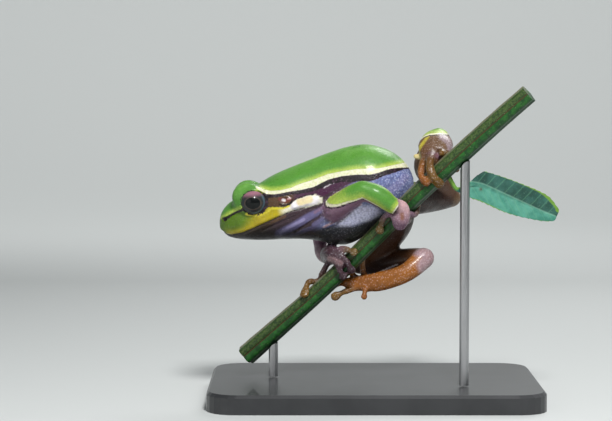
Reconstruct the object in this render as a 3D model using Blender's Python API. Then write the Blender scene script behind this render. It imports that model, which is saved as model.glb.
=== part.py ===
# A European tree frog as a still, life-size display model. It grips a short cut length of
# green stem, which two short rods hold over a flat base.
# X runs towards the tail end, Y away from the frog's left side, Z up.
# The origin is the centre of the base's underside. Sizes are in millimetres; MM makes them metres.

import math

import bmesh
import bpy
import numpy as np

for item in list(bpy.data.objects):
    bpy.data.objects.remove(item, do_unlink=True)

MM = 0.001
GAP = 0.3          # room between two pieces that touch

# Head and torso are one form, given by stations from the snout to the vent:
# place along X, top, underside, half width.
BODY_STATIONS = (
    (-32.95, 37.6, 37.6, 0.0),
    (-32.45, 39.6, 35.8, 1.9),
    (-31.1, 41.5, 34.6, 3.7),
    (-28.8, 43.0, 34.0, 5.2),
    (-26.0, 44.8, 33.8, 6.3),
    (-22.4, 47.15, 33.8, 7.1),
    (-18.3, 49.0, 34.0, 7.4),
    (-14.0, 50.7, 33.9, 7.2),
    (-10.0, 52.2, 33.2, 7.6),
    (-6.0, 53.5, 32.8, 8.3),
    (-2.0, 54.1, 34.6, 8.6),
    (1.6, 53.4, 37.3, 8.0),
    (4.6, 52.0, 40.0, 6.7),
    (6.9, 49.8, 42.4, 4.9),
    (8.1, 47.4, 44.2, 2.5),
    (8.4, 45.9, 45.9, 0.0),
)
NECK_STATION = 7.35        # where the head is parted from the torso
BODY_MID_SHARE = 0.45      # height of the widest line between underside and top
BODY_SIDES = 28
BODY_SQUARENESS = 2.25     # 2 is an ellipse, more is boxier

EYE = {"x": -25.5, "y": 5.25, "z": 42.2, "radius": 2.75}
LID_THICKNESS = 0.5
LID_OPENING = {"width": 5.2, "height": 4.7}
BROW = {"x": -26.6, "y": 4.4, "z": 43.05, "radii": (3.55, 2.7, 3.3)}
MOUTH_HEIGHTS = (          # place along X and height of the line between the lips
    (-31.9, 35.6), (-29.0, 34.9), (-26.0, 36.2), (-22.8, 37.6), (-19.4, 39.2), (-16.2, 40.3),
    (-13.6, 41.0),
)
MOUTH_GROOVE = 0.32
NOSTRIL = {"x": -31.7, "z": 38.1, "radius": 0.38}
EARDRUM = {"x": -18.9, "z": 42.5, "radius": 1.1, "rise": 0.25}

# The stem's centre line with its radius at each point.
STEM_POINTS = (
    (-27.4, 3.1, 8.5, 2.25), (-9.2, -2.5, 25.4, 1.9), (7.4, -8.0, 42.7, 2.0),
    (14.7, -10.1, 49.8, 2.05), (24.55, -13.2, 59.15, 2.0), (31.0, -15.2, 65.0, 1.95),
)
STEM_RIBS = 5
STEM_RIB_RISE = 0.09       # share of the radius

# The leaf's midrib: points with the blade's width above and below it.
LEAF_ROWS = (
    (17.0, -8.6, 44.75, 0.3, 0.35), (18.3, -8.35, 45.2, 0.7, 1.6), (19.8, -8.1, 45.5, 1.3, 2.4),
    (21.5, -7.8, 45.3, 3.4, 2.65), (23.2, -7.5, 44.8, 3.75, 2.75), (28.7, -6.6, 42.6, 4.0, 2.95),
    (34.5, -5.7, 40.3, 3.75, 2.1), (37.4, -5.2, 39.3, 2.2, 1.3), (38.1, -5.1, 39.0, 1.2, 0.8),
)
LEAF = {"thickness": 0.7, "fold": 1.1, "full_width": 4.0}
LEAF_STALK = ((15.1, -9.3, 47.9, 0.5), (15.9, -9.1, 46.4, 0.45), (16.7, -8.8, 45.2, 0.45),
              (17.8, -8.5, 45.0, 0.45))

BASE = {"length": 70.0, "width": 46.0, "height": 4.0, "corner": 6.0}
ROD_RADIUS = 1.0
ROD_PLACES = {"stand_rod_low": -21.5, "stand_rod_high": 18.4}

# Limb segments: points of the centre line with the half thickness at each.
ARM_SEGMENTS = {
    "upper_arm_left": ((-8.6, -3.6, 40.5, 2.5), (-8.4, -7.2, 40.8, 2.5), (-5.3, -9.8, 43.4, 2.35),
                       (-2.7, -11.1, 45.0, 2.1)),
    "forearm_left": ((-2.7, -11.1, 45.0, 2.1), (0.5, -11.6, 43.8, 2.2), (3.4, -11.9, 41.8, 1.75)),
    "upper_arm_right": ((-10.6, 3.6, 39.0, 2.4), (-11.0, 6.4, 37.6, 2.4), (-11.2, 8.6, 34.6, 2.1),
                        (-11.0, 9.9, 32.0, 1.9)),
    "forearm_right": ((-11.0, 9.9, 32.0, 1.9), (-10.6, 6.2, 30.4, 1.9), (-10.1, 2.4, 29.8, 1.45)),
}
LEG_SEGMENTS = {
    "thigh_right": ((4.6, 2.6, 43.0, 3.6), (9.0, 6.4, 42.2, 3.5), (13.4, 10.9, 41.8, 2.8),
                    (17.6, 14.5, 41.8, 2.1)),
    "shank_right": ((17.6, 14.5, 41.8, 2.1), (14.6, 11.0, 45.0, 2.5), (11.6, 7.2, 48.7, 2.75),
                    (12.5, 4.5, 52.2, 2.75), (13.8, 2.1, 55.2, 2.4)),
    "thigh_left": ((4.8, -0.6, 42.0, 3.6), (4.4, 1.8, 37.4, 3.9), (1.0, 4.8, 31.8, 3.2),
                   (-2.8, 7.0, 28.0, 2.4)),
    "shank_left": ((-2.8, 7.0, 28.0, 2.4), (1.6, 5.0, 28.3, 2.6), (6.6, 2.2, 29.4, 2.3),
                   (10.7, -0.8, 30.2, 1.9)),
}
SEGMENT_SIDES = 12
SEGMENT_RINGS = 8

DIGIT = {"half": 0.62, "pad": 0.98, "pad_thickness": 0.62, "sides": 7, "rings": 8}

COLOURS = {                # base colour, roughness
    "green": ((0.16, 0.42, 0.03), 0.35),
    "flank": ((0.30, 0.30, 0.42), 0.45),
    "orange": ((0.42, 0.17, 0.03), 0.30),
    "hand": ((0.34, 0.20, 0.22), 0.35),
    "eye": ((0.02, 0.015, 0.01), 0.05),
    "stem": ((0.06, 0.26, 0.05), 0.50),
    "leaf": ((0.04, 0.22, 0.10), 0.50),
    "stand": ((0.10, 0.10, 0.10), 0.55),
}


def smooth_curve(points, count, spacing=None):
    """Catmull-Rom curve through rows of numbers, read at count even steps (or at spacing)."""
    rows = np.array(points, float)
    ends = np.vstack((2 * rows[0] - rows[1], rows, 2 * rows[-1] - rows[-2]))
    place = np.linspace(0, len(rows) - 1, count) if spacing is None else np.asarray(spacing, float)
    index = np.clip(place.astype(int), 0, len(rows) - 2)
    t = (place - index)[:, None]
    before, here, there, after = (ends[index + k] for k in range(4))
    return 0.5 * (2 * here + (there - before) * t
                  + (2 * before - 5 * here + 4 * there - after) * t ** 2
                  + (3 * here - before - 3 * there + after) * t ** 3)


def even_curve(points, count):
    """The same curve read at steps of equal length along its first three columns."""
    fine = smooth_curve(points, 120)
    steps = np.linalg.norm(np.diff(fine[:, :3], axis=0), axis=1)
    length = np.concatenate(([0.0], np.cumsum(steps)))
    wanted = np.linspace(0, length[-1], count)
    return np.stack([np.interp(wanted, length, column) for column in fine.T], axis=1)


def make_object(name, points, faces):
    """A mesh object from millimetre points, with its faces turned outwards."""
    mesh = bpy.data.meshes.new(name)
    mesh.from_pydata((np.asarray(points) * MM).tolist(), [], faces)
    shape = bmesh.new()
    shape.from_mesh(mesh)
    bmesh.ops.recalc_face_normals(shape, faces=shape.faces)
    shape.to_mesh(mesh)
    shape.free()
    thing = bpy.data.objects.new(name, mesh)
    bpy.context.scene.collection.objects.link(thing)
    return thing


def loft(name, rings, start=None, end=None):
    """Skin over rings of points; each end closes at a tip point, or as a flat cap without one."""
    rings = np.asarray(rings, float)
    count, sides = rings.shape[:2]
    points = list(rings.reshape(-1, 3))
    faces = []
    for r in range(count - 1):
        for s in range(sides):
            t = (s + 1) % sides
            faces.append((r * sides + s, r * sides + t, (r + 1) * sides + t, (r + 1) * sides + s))
    for first, tip in ((0, start), ((count - 1) * sides, end)):
        if tip is None:
            faces.append(tuple(range(first, first + sides)))
            continue
        points.append(np.asarray(tip, float))
        faces += [(first + s, first + (s + 1) % sides, len(points) - 1) for s in range(sides)]
    return make_object(name, points, faces)


def unit(rows):
    """Rows scaled to length one."""
    return rows / np.linalg.norm(rows, axis=-1, keepdims=True)


def tube(name, path, half_wide, half_thick=None, sides=SEGMENT_SIDES, flat_normal=(0, 1, 0)):
    """A closed tube with domed ends. flat_normal is the direction of its thin side at the tip."""
    path = np.asarray(path, float)
    half_wide = np.asarray(half_wide, float)
    half_thick = half_wide if half_thick is None else np.asarray(half_thick, float)
    tangent = unit(np.gradient(path, axis=0))
    normal = np.empty_like(path)
    thin = np.array(flat_normal, float)
    for i in reversed(range(len(path))):
        thin = unit(thin - tangent[i] * np.dot(thin, tangent[i]))
        normal[i] = thin
    side = np.cross(tangent, normal)
    angle = np.arange(sides) * math.tau / sides
    rings = []

    def ring(i, centre, shrink):
        wide = np.outer(np.cos(angle), side[i]) * half_wide[i]
        thick = np.outer(np.sin(angle), normal[i]) * half_thick[i]
        rings.append(centre + (wide + thick) * shrink)

    dome = (math.radians(62), math.radians(30))
    reach = [min(half_wide[i], half_thick[i] * 1.2) for i in (0, -1)]
    for lean in dome:
        ring(0, path[0] - tangent[0] * reach[0] * math.sin(lean), math.cos(lean))
    for i in range(len(path)):
        ring(i, path[i], 1.0)
    for lean in reversed(dome):
        ring(-1, path[-1] + tangent[-1] * reach[1] * math.sin(lean), math.cos(lean))
    return loft(name, rings, path[0] - tangent[0] * reach[0], path[-1] + tangent[-1] * reach[1])


def swelled(thing, amount=GAP):
    """A copy of a form, each point moved out along its normal, used as a cutter."""
    copy = thing.copy()
    copy.data = thing.data.copy()
    copy.name = thing.name + "_cutter"
    bpy.context.scene.collection.objects.link(copy)
    shape = bmesh.new()
    shape.from_mesh(copy.data)
    shape.normal_update()
    moves = [(corner, corner.normal * amount * MM) for corner in shape.verts]
    for corner, move in moves:
        corner.co += move
    shape.to_mesh(copy.data)
    shape.free()
    return copy


def largest_body(mesh):
    """Keeps only the closed surface with the most area."""
    shape = bmesh.new()
    shape.from_mesh(mesh)
    bmesh.ops.dissolve_degenerate(shape, edges=shape.edges, dist=0.004 * MM)
    bmesh.ops.triangulate(shape, faces=shape.faces)
    seen = set()
    groups = []
    for face in shape.faces:
        if face in seen:
            continue
        seen.add(face)
        group = [face]
        for member in group:
            for edge in member.edges:
                for other in edge.link_faces:
                    if other not in seen:
                        seen.add(other)
                        group.append(other)
        groups.append(group)
    groups.sort(key=lambda group: sum(face.calc_area() for face in group))
    scraps = [face for group in groups[:-1] for face in group]
    bmesh.ops.delete(shape, geom=scraps, context="FACES")
    loose = [corner for corner in shape.verts if not corner.link_faces]
    bmesh.ops.delete(shape, geom=loose, context="VERTS")
    shape.to_mesh(mesh)
    shape.free()


def combine(thing, tools, operation, solver="EXACT"):
    """One Boolean with a collection of closed forms; the tools are removed afterwards."""
    if not tools:
        return thing
    holder = bpy.data.collections.new(thing.name + "_tools")
    bpy.context.scene.collection.children.link(holder)
    for tool in tools:
        bpy.context.scene.collection.objects.unlink(tool)
        holder.objects.link(tool)
    step = thing.modifiers.new("combine", "BOOLEAN")
    step.operation = operation
    step.operand_type = "COLLECTION"
    step.collection = holder
    step.solver = solver
    graph = bpy.context.evaluated_depsgraph_get()
    result = bpy.data.meshes.new_from_object(thing.evaluated_get(graph))
    thing.modifiers.clear()
    thing.data = result
    for tool in list(holder.objects):
        bpy.data.objects.remove(tool, do_unlink=True)
    bpy.data.collections.remove(holder)
    largest_body(result)
    return thing


def ball(name, centre, radii, rings=10, sides=16):
    """An ellipsoid."""
    lean = np.linspace(-math.pi / 2, math.pi / 2, rings + 2)[1:-1]
    angle = np.arange(sides) * math.tau / sides
    centre = np.array(centre, float)
    radii = np.array(radii, float)
    shells = [centre + radii * np.stack((np.cos(angle) * math.cos(a), np.sin(angle) * math.cos(a),
                                         np.full(sides, math.sin(a))), axis=1) for a in lean]
    foot = centre - radii * np.array((0, 0, 1.0))
    return loft(name, shells, foot, centre + radii * np.array((0, 0, 1.0)))


# The body form

def body_section(station):
    """Place along X, top, underside and half width at a station between whole numbers."""
    return smooth_curve(BODY_STATIONS, 1, [station])[0]


def body_ring(station, sides=BODY_SIDES):
    """One closed section of head and torso: a squared ellipse in two halves of unlike height."""
    x, top, under, half = body_section(station)
    middle = under + (top - under) * BODY_MID_SHARE
    angle = np.arange(sides) * math.tau / sides
    power = 2 / BODY_SQUARENESS
    across = np.sign(np.cos(angle)) * np.abs(np.cos(angle)) ** power
    rise = np.sign(np.sin(angle)) * np.abs(np.sin(angle)) ** power
    height = np.where(rise > 0, (top - middle) * rise, (middle - under) * rise)
    return np.stack((np.full(sides, x), half * across, middle + height), axis=1)


def side_of_body(x, z):
    """Half width of the body form at a place along X and a height."""
    stations = np.linspace(0, len(BODY_STATIONS) - 1, 400)
    table = smooth_curve(BODY_STATIONS, 400)
    station = np.interp(x, table[:, 0], stations)
    _, top, under, half = body_section(station)
    middle = under + (top - under) * BODY_MID_SHARE
    reach = (top - middle) if z > middle else (middle - under)
    share = min(abs(z - middle) / reach, 1.0)
    return half * (1 - share ** BODY_SQUARENESS) ** (1 / BODY_SQUARENESS)


def body_piece(name, first, last, rings):
    """A length of the body form, flat where the neck parts it and pointed at its far end."""
    places = np.linspace(first, last, rings)
    at_snout = first < 1
    tip = 0 if at_snout else len(BODY_STATIONS) - 1
    x, height = BODY_STATIONS[tip][0], BODY_STATIONS[tip][1]
    point = (x, 0.0, height)
    start = point if at_snout else None
    return loft(name, [body_ring(p) for p in places], start, None if at_snout else point)


def lid_tools(side, name):
    """The socket and the lens-shaped opening of one eye."""
    centre = (EYE["x"], side * EYE["y"], EYE["z"])
    socket = ball(name + "_socket", centre, [EYE["radius"] + GAP] * 3, 9, 16)
    path = [(EYE["x"], side * (EYE["y"] + 0.4 + step), EYE["z"] - 0.05) for step in (0.0, 2.0, 8.0)]
    wide = np.array((0.5, 0.52, 0.56)) * LID_OPENING["width"]
    high = np.array((0.5, 0.52, 0.56)) * LID_OPENING["height"]
    opening = tube(name + "_opening", path, wide, high, 16, (0, 0, 1))
    return [socket, opening]


def mouth_groove():
    """A thin tube that follows the lip line round the snout from one corner to the other."""
    line = smooth_curve(MOUTH_HEIGHTS, 12)
    near = [(x, -side_of_body(x, z), z) for x, z in line]
    front = (MOUTH_HEIGHTS[0][0] - 0.35, 0.0, MOUTH_HEIGHTS[0][1] + 0.15)
    far = [(x, -y, z) for x, y, z in near]
    path = smooth_curve(near[::-1] + [front] + far, 35)
    return tube("mouth", path, np.full(len(path), MOUTH_GROOVE), sides=6, flat_normal=(0, 0, 1))


def make_head():
    head = body_piece("head", 0.28, NECK_STATION - 0.02, 20)
    plain = head.copy()
    plain.data = head.data.copy()
    additions = []
    cuts = [mouth_groove()]
    for side in (-1, 1):
        additions.append(ball("brow", (BROW["x"], side * BROW["y"], BROW["z"]), BROW["radii"], 9, 16))
        lid = EYE["radius"] + GAP + LID_THICKNESS
        additions.append(ball("lid", (EYE["x"], side * EYE["y"], EYE["z"]), [lid] * 3, 9, 16))
        drum = side_of_body(EARDRUM["x"], EARDRUM["z"])
        size = (EARDRUM["radius"], EARDRUM["rise"] + 0.4, EARDRUM["radius"])
        additions.append(ball("eardrum", (EARDRUM["x"], side * (drum - 0.4), EARDRUM["z"]), size, 6, 12))
        cuts += lid_tools(side, "eye")
        nose = side_of_body(NOSTRIL["x"], NOSTRIL["z"])
        spot = (NOSTRIL["x"], side * nose, NOSTRIL["z"])
        cuts.append(ball("nostril", spot, [NOSTRIL["radius"]] * 3, 5, 8))
    combine(head, additions, "UNION")
    combine(head, cuts, "DIFFERENCE")
    return head, plain


def make_eye(name, side):
    return ball(name, (EYE["x"], side * EYE["y"], EYE["z"]), [EYE["radius"]] * 3, 9, 16)


# The stem and what hangs on it

def stem_frame(x):
    """Centre, radius, front direction and upper direction of the stem at a place along X."""
    table = smooth_curve(STEM_POINTS, 200)
    share = np.interp(x, table[:, 0], np.linspace(0, 1, 200))
    place = share * (len(STEM_POINTS) - 1)
    row = smooth_curve(STEM_POINTS, 1, [place])[0]
    ahead = smooth_curve(STEM_POINTS, 1, [min(place + 0.05, len(STEM_POINTS) - 1)])[0]
    behind = smooth_curve(STEM_POINTS, 1, [max(place - 0.05, 0)])[0]
    along = unit((ahead - behind)[:3])
    front = np.array((0.0, -1.0, 0.0))
    front = unit(front - along * np.dot(front, along))
    upper = np.cross(along, front)
    upper = upper if upper[2] > 0 else -upper
    return row[:3], row[3], front, upper


def on_stem(x, turn, lift):
    """A point beside the stem: turn is 0 at the viewer's side, 90 on top, -90 beneath."""
    centre, radius, front, upper = stem_frame(x)
    lean = math.radians(turn)
    return centre + (front * math.cos(lean) + upper * math.sin(lean)) * (radius + lift)


def make_perch():
    angle = np.arange(20) * math.tau / 20
    rings = []
    for x in np.linspace(STEM_POINTS[0][0], STEM_POINTS[-1][0], 15):
        centre, radius, front, upper = stem_frame(x)
        rib = radius * (1 + STEM_RIB_RISE * (np.cos(STEM_RIBS * angle) - 0.4))
        rings.append(centre + np.outer(np.cos(angle) * rib, front) + np.outer(np.sin(angle) * rib, upper))
    return loft("stand_perch", rings)


def make_leaf():
    """A folded blade on a short stalk: rows along the midrib, with two edges and a sunk middle."""
    rows = even_curve(LEAF_ROWS, 12)
    line = rows[:, :3]
    along = unit(np.gradient(line, axis=0))
    across = unit(np.cross(along, (0.0, 1.0, 0.0)))
    across = np.where(across[:, 2:] < 0, -across, across)
    facing = np.cross(across, along)
    facing = np.where(facing[:, 1:2] > 0, -facing, facing)
    rings = []
    for i, (_, _, _, above, below) in enumerate(rows):
        ring = []
        for thick in (0.5, -0.5):
            spots = (-1, -0.5, 0, 0.5, 1) if thick > 0 else (1, 0.5, 0, -0.5, -1)
            for s in spots:
                width = above if s > 0 else below
                bend = facing[i] * LEAF["fold"] * (abs(s) - 0.5) * width / LEAF["full_width"]
                ring.append(line[i] + across[i] * s * width + bend
                            + facing[i] * thick * LEAF["thickness"])
        rings.append(ring)
    leaf = loft("stand_leaf", rings)
    stalk = even_curve(LEAF_STALK, 6)
    return combine(leaf, [tube("stalk", stalk[:, :3], stalk[:, 3], sides=8)], "UNION")


def make_base():
    """A flat plate with round corners."""
    half_x = BASE["length"] / 2 - BASE["corner"]
    half_y = BASE["width"] / 2 - BASE["corner"]
    outline = []
    for quarter, (sx, sy) in enumerate(((1, 1), (-1, 1), (-1, -1), (1, -1))):
        for step in range(7):
            lean = math.radians(90 * quarter + 15 * step)
            outline.append((sx * half_x + BASE["corner"] * math.cos(lean),
                            sy * half_y + BASE["corner"] * math.sin(lean)))
    edge = 0.6
    rings = []
    for height, inset in ((0, 0), (BASE["height"] - edge, 0), (BASE["height"], edge)):
        rings.append([(x * (1 - inset / 35), y * (1 - inset / 23), height) for x, y in outline])
    return loft("stand_base", rings)


def make_rod(name, x):
    centre = stem_frame(x)[0]
    low = BASE["height"] + GAP
    angle = np.arange(16) * math.tau / 16
    rings = [[(centre[0] + ROD_RADIUS * math.cos(a), centre[1] + ROD_RADIUS * math.sin(a), z)
              for a in angle] for z in (low, centre[2])]
    return loft(name, rings)


# Limbs

def make_segment(name, rows):
    curve = even_curve(rows, SEGMENT_RINGS)
    return tube(name, curve[:, :3], curve[:, 3])


def digit(name, route, flat_normal, half=DIGIT["half"], pad=DIGIT["pad"]):
    """A finger or toe along its route, with a round, flattened pad at its tip."""
    path = even_curve(route, DIGIT["rings"])
    wide = np.full(len(path), half)
    wide[1] = half * 1.08
    wide[-3:] = (half * 1.05, pad, pad * 0.97)
    thick = np.full(len(path), half)
    thick[-3:] = (half * 0.92, DIGIT["pad_thickness"], DIGIT["pad_thickness"])
    return tube(name, path, wide, thick, DIGIT["sides"], flat_normal)


def palm(name, route, wide, thick, flat_normal):
    rows = [(*point, w, t) for point, w, t in zip(route, wide, thick)]
    path = even_curve(rows, 6)
    return tube(name, path[:, :3], path[:, 3], path[:, 4], 12, flat_normal)


def make_hand_left():
    """Palm over the stem's front, one finger down the front, three that wrap beneath."""
    middle = (5.1, -11.0, 38.9)
    hand = palm("hand_left", ((3.7, -11.8, 42.0), (5.0, -11.6, 41.6), (5.5, -11.3, 40.6), middle,
                              (4.9, -10.3, 37.6)),
                (1.5, 1.5, 1.6, 2.0, 1.5), (1.3, 1.3, 1.2, 1.2, 0.9), (0, 1, 0))
    fingers = [
        digit("first", ((4.9, -11.3, 40.4), (2.9, -11.0, 40.2), on_stem(3.2, 36, 0.8),
                        on_stem(2.2, 22, 0.7), on_stem(1.5, 8, 0.65)), (0.2, 1, 0.2)),
        digit("second", (middle, on_stem(4.1, -25, 0.8), on_stem(3.7, -60, 0.65),
                         on_stem(3.7, -97, 0.6), on_stem(4.0, -132, 0.6)), (0.6, 0.7, 0.4)),
        digit("third", (middle, on_stem(5.0, -40, 1.0), on_stem(5.0, -75, 0.7),
                        on_stem(5.2, -115, 0.65), on_stem(5.5, -150, 0.6)), (0.6, 0.7, 0.4)),
        digit("fourth", (middle, on_stem(6.2, -30, 1.1), on_stem(6.3, -75, 0.75),
                         on_stem(6.9, -115, 0.65), on_stem(7.6, -150, 0.6)), (0.6, 0.7, 0.4)),
    ]
    return combine(hand, fingers, "UNION")


def make_hand_right():
    """Back of the hand to the viewer, thumb up the stem, two fingers down its front, one behind."""
    middle = (-8.5, -3.4, 30.7)
    hand = palm("hand_right", ((-10.0, 1.6, 29.7), (-9.7, -0.8, 30.6), middle, (-7.3, -5.0, 29.5)),
                (1.45, 1.9, 2.5, 2.2), (1.4, 1.7, 1.9, 1.2), (0.3, 0.5, 1))
    fingers = [
        digit("first", (middle, (-7.1, -5.0, 32.3), on_stem(-3.8, 52, 0.9), on_stem(-3.3, 20, 0.7)),
              (0.3, 1, -0.3)),
        digit("second", (middle, (-7.6, -5.6, 31.2), on_stem(-5.0, 24, 0.8), on_stem(-5.2, -5, 0.7),
                         on_stem(-5.6, -35, 0.6)), (0, 1, 0.2)),
        digit("third", (middle, (-8.4, -5.2, 29.6), on_stem(-6.5, 30, 0.8), on_stem(-6.8, 0, 0.7),
                        on_stem(-7.1, -28, 0.6)), (0, 1, 0.2)),
        digit("fourth", (middle, (-9.9, -2.4, 28.9), on_stem(-9.9, 126, 0.65),
                         on_stem(-11.2, 148, 0.65), on_stem(-12.1, 104, 1.0), on_stem(-13.4, 40, 0.65)),
              (0.5, 1, -0.5), 0.65, 1.05),
    ]
    return combine(hand, fingers, "UNION")


def make_foot_right():
    """The upper foot: heel above the stem, toes draped over its top and front."""
    middle = (12.4, -4.3, 53.0)
    foot = palm("foot_right", ((13.5, 2.0, 54.9), (13.2, -1.2, 54.4), middle, (11.8, -7.1, 51.6),
                               (11.5, -9.1, 50.8)),
                (3.1, 3.5, 3.5, 2.5, 1.6), (2.3, 2.0, 1.5, 1.1, 0.8), (0.2, 0.45, 0.9))
    toes = [
        digit("first", (middle, (10.9, -5.4, 52.1), (9.6, -5.2, 51.4), (8.6, -4.6, 51.7)),
              (0.3, 1, 0.3), 0.5, 0.58),
        digit("second", (middle, (9.9, -8.0, 50.8), on_stem(11.3, 66, 0.85), on_stem(11.1, 42, 0.75),
                         on_stem(11.3, 12, 0.65)), (0.3, 1, 0.2), 0.72, 1.05),
        digit("third", (middle, (11.4, -9.2, 51.5), on_stem(13.0, 52, 0.95), on_stem(12.6, 10, 0.9),
                        on_stem(12.4, -36, 0.75)), (0.3, 1, 0.2), 0.9, 1.15),
        digit("fourth", (middle, (13.8, -8.0, 53.0), on_stem(15.4, 95, 0.8), on_stem(15.6, 125, 0.7),
                         on_stem(15.5, 155, 0.6)), (0.6, 0.5, 0.6)),
        digit("fifth", (middle, (13.2, -4.6, 51.3), (13.7, -5.8, 49.8), on_stem(14.6, 200, 0.7),
                        on_stem(15.2, 225, 0.6)), (0.6, 0.5, 0.6), 0.58, 0.85),
    ]
    return combine(foot, toes, "UNION")


def make_foot_left():
    """The lower foot: from the heel forward under the stem, toes that grip it from behind."""
    middle = (0.6, -2.6, 25.0)
    foot = palm("foot_left", ((10.6, -1.4, 30.0), (6.4, -3.3, 26.9), middle, (-3.4, -1.7, 24.6),
                              (-6.2, -1.0, 24.7)),
                (2.3, 2.0, 2.1, 1.7, 1.1), (1.9, 1.5, 1.1, 0.8, 0.7), (0.1, 1, 0))
    toes = [
        digit("first", (middle, (-1.7, -3.0, 23.8), (-2.1, -3.3, 22.5), (-2.2, -3.4, 21.9)),
              (0, 1, 0), 0.55, 0.7),
        digit("second", (middle, (-3.8, -2.0, 23.6), (-6.3, -2.4, 22.9), (-7.8, -2.7, 22.2),
                         (-8.5, -2.8, 21.8)), (0.4, 1, 0.3), 0.62, 1.0),
        digit("third", (middle, (-4.4, -0.4, 24.6), on_stem(-9.4, -140, 0.8),
                        on_stem(-12.0, -150, 0.7), on_stem(-13.2, -160, 0.6)), (0.4, 1, 0.3)),
        digit("fourth", (middle, (-3.6, 0.0, 25.6), on_stem(-7.0, -165, 0.8), on_stem(-9.6, 170, 0.7),
                         on_stem(-11.6, 150, 0.6)), (0.3, 1, -0.3)),
        digit("fifth", (middle, (-2.2, -0.2, 26.6), on_stem(-3.6, -165, 0.8), on_stem(-4.8, 165, 0.6)),
              (0.3, 1, -0.3)),
    ]
    return combine(foot, toes, "UNION", "MANIFOLD")


def colour_node(thing, colour_name):
    """Gives a node its own material and smooth shading."""
    colour, roughness = COLOURS[colour_name]
    material = bpy.data.materials.new(thing.name + "_finish")
    material.use_nodes = True
    shader = material.node_tree.nodes["Principled BSDF"]
    shader.inputs["Base Color"].default_value = (*colour, 1)
    shader.inputs["Roughness"].default_value = roughness
    shader.inputs["Metallic"].default_value = 0
    thing.data.materials.clear()
    thing.data.materials.append(material)
    thing.data.shade_smooth()
    thing.data.set_sharp_from_angle(angle=math.radians(50))


def boxes_touch(one, other):
    """Whether the boxes of two meshes come within the gap of each other."""
    spans = []
    for thing in (one, other):
        corners = np.array([corner.co for corner in thing.data.vertices])
        spans.append((corners.min(0), corners.max(0)))
    (low_a, high_a), (low_b, high_b) = spans
    room = GAP * MM
    return bool(np.all(low_a - room < high_b) and np.all(low_b - room < high_a))


def part_from(thing, earlier):
    """Cuts a piece back from the plain forms of the pieces made before it."""
    cutters = [swelled(form) for form in earlier if boxes_touch(thing, form)]
    for cutter in cutters:
        combine(thing, [cutter], "DIFFERENCE")


def build_model():
    perch = make_perch()
    head, head_form = make_head()
    torso = body_piece("torso", NECK_STATION + 0.06, len(BODY_STATIONS) - 1.3, 20)
    makers = [(torso, "flank")]
    makers += [(make_segment(name, rows), "orange") for name, rows in LEG_SEGMENTS.items()]
    makers += [(make_segment(name, rows), "green") for name, rows in ARM_SEGMENTS.items()]
    makers += [(make_hand_left(), "hand"), (make_hand_right(), "hand"),
               (make_foot_right(), "orange"), (make_foot_left(), "orange")]
    forms = []
    for thing in (perch, head_form):
        form = thing.copy()
        form.data = thing.data.copy()
        bpy.context.scene.collection.objects.link(form)
        forms.append(form)
    for thing, colour_name in makers:
        form = thing.copy()
        form.data = thing.data.copy()
        bpy.context.scene.collection.objects.link(form)
        neighbours = forms[:1] if thing is torso else forms
        part_from(thing, neighbours)
        forms.append(form)
        colour_node(thing, colour_name)
    colour_node(head, "green")
    colour_node(perch, "stem")
    for name, side in (("eye_left", -1), ("eye_right", 1)):
        colour_node(make_eye(name, side), "eye")
    leaf = make_leaf()
    part_from(leaf, forms)
    colour_node(leaf, "leaf")
    colour_node(make_base(), "stand")
    for name, x in ROD_PLACES.items():
        rod = make_rod(name, x)
        part_from(rod, forms[:1])
        colour_node(rod, "stand")
    for form in forms + [head_form]:
        bpy.data.objects.remove(form, do_unlink=True)


build_model()
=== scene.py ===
import math

import bmesh
import bpy
import numpy as np
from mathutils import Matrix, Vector


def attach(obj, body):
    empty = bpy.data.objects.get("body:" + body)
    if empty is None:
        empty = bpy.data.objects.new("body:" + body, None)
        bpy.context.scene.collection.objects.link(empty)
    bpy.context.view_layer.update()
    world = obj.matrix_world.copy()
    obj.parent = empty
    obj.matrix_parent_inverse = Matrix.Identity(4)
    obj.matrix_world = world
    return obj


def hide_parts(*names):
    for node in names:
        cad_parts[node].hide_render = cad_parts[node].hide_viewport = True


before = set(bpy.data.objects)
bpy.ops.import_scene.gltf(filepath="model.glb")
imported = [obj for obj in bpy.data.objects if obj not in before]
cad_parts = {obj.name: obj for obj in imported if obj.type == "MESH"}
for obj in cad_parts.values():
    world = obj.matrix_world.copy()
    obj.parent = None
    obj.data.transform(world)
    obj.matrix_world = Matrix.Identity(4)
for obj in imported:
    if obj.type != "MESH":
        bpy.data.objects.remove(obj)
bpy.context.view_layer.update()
print("stage: frame loaded")

mm = 0.001      # shapes are worked out in millimetres and scaled as they become meshes


# Curves and surfaces shared by all pieces

def smoothCurve(rows, places):
    # Catmull-Rom: a cubic through every row, read at places counted in rows
    rows = np.asarray(rows, float)
    ends = np.vstack((2 * rows[0] - rows[1], rows, 2 * rows[-1] - rows[-2]))
    places = np.asarray(places, float)
    index = np.clip(places.astype(int), 0, len(rows) - 2)
    t = (places - index)[:, None]
    before, here, there, after = (ends[index + k] for k in range(4))
    return 0.5 * (2 * here + (there - before) * t
                  + (2 * before - 5 * here + 4 * there - after) * t ** 2
                  + (3 * here - before - 3 * there + after) * t ** 3)


def evenCurve(rows, count):
    # the same curve, read at equal steps of length along its first three columns
    fine = smoothCurve(rows, np.linspace(0, len(rows) - 1, 160))
    steps = np.linalg.norm(np.diff(fine[:, :3], axis=0), axis=1)
    length = np.concatenate(([0.0], np.cumsum(steps)))
    wanted = np.linspace(0, length[-1], count)
    return np.stack([np.interp(wanted, length, column) for column in fine.T], axis=1)


def unit(vectors):
    vectors = np.asarray(vectors, float)
    return vectors / np.linalg.norm(vectors, axis=-1, keepdims=True)


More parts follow.
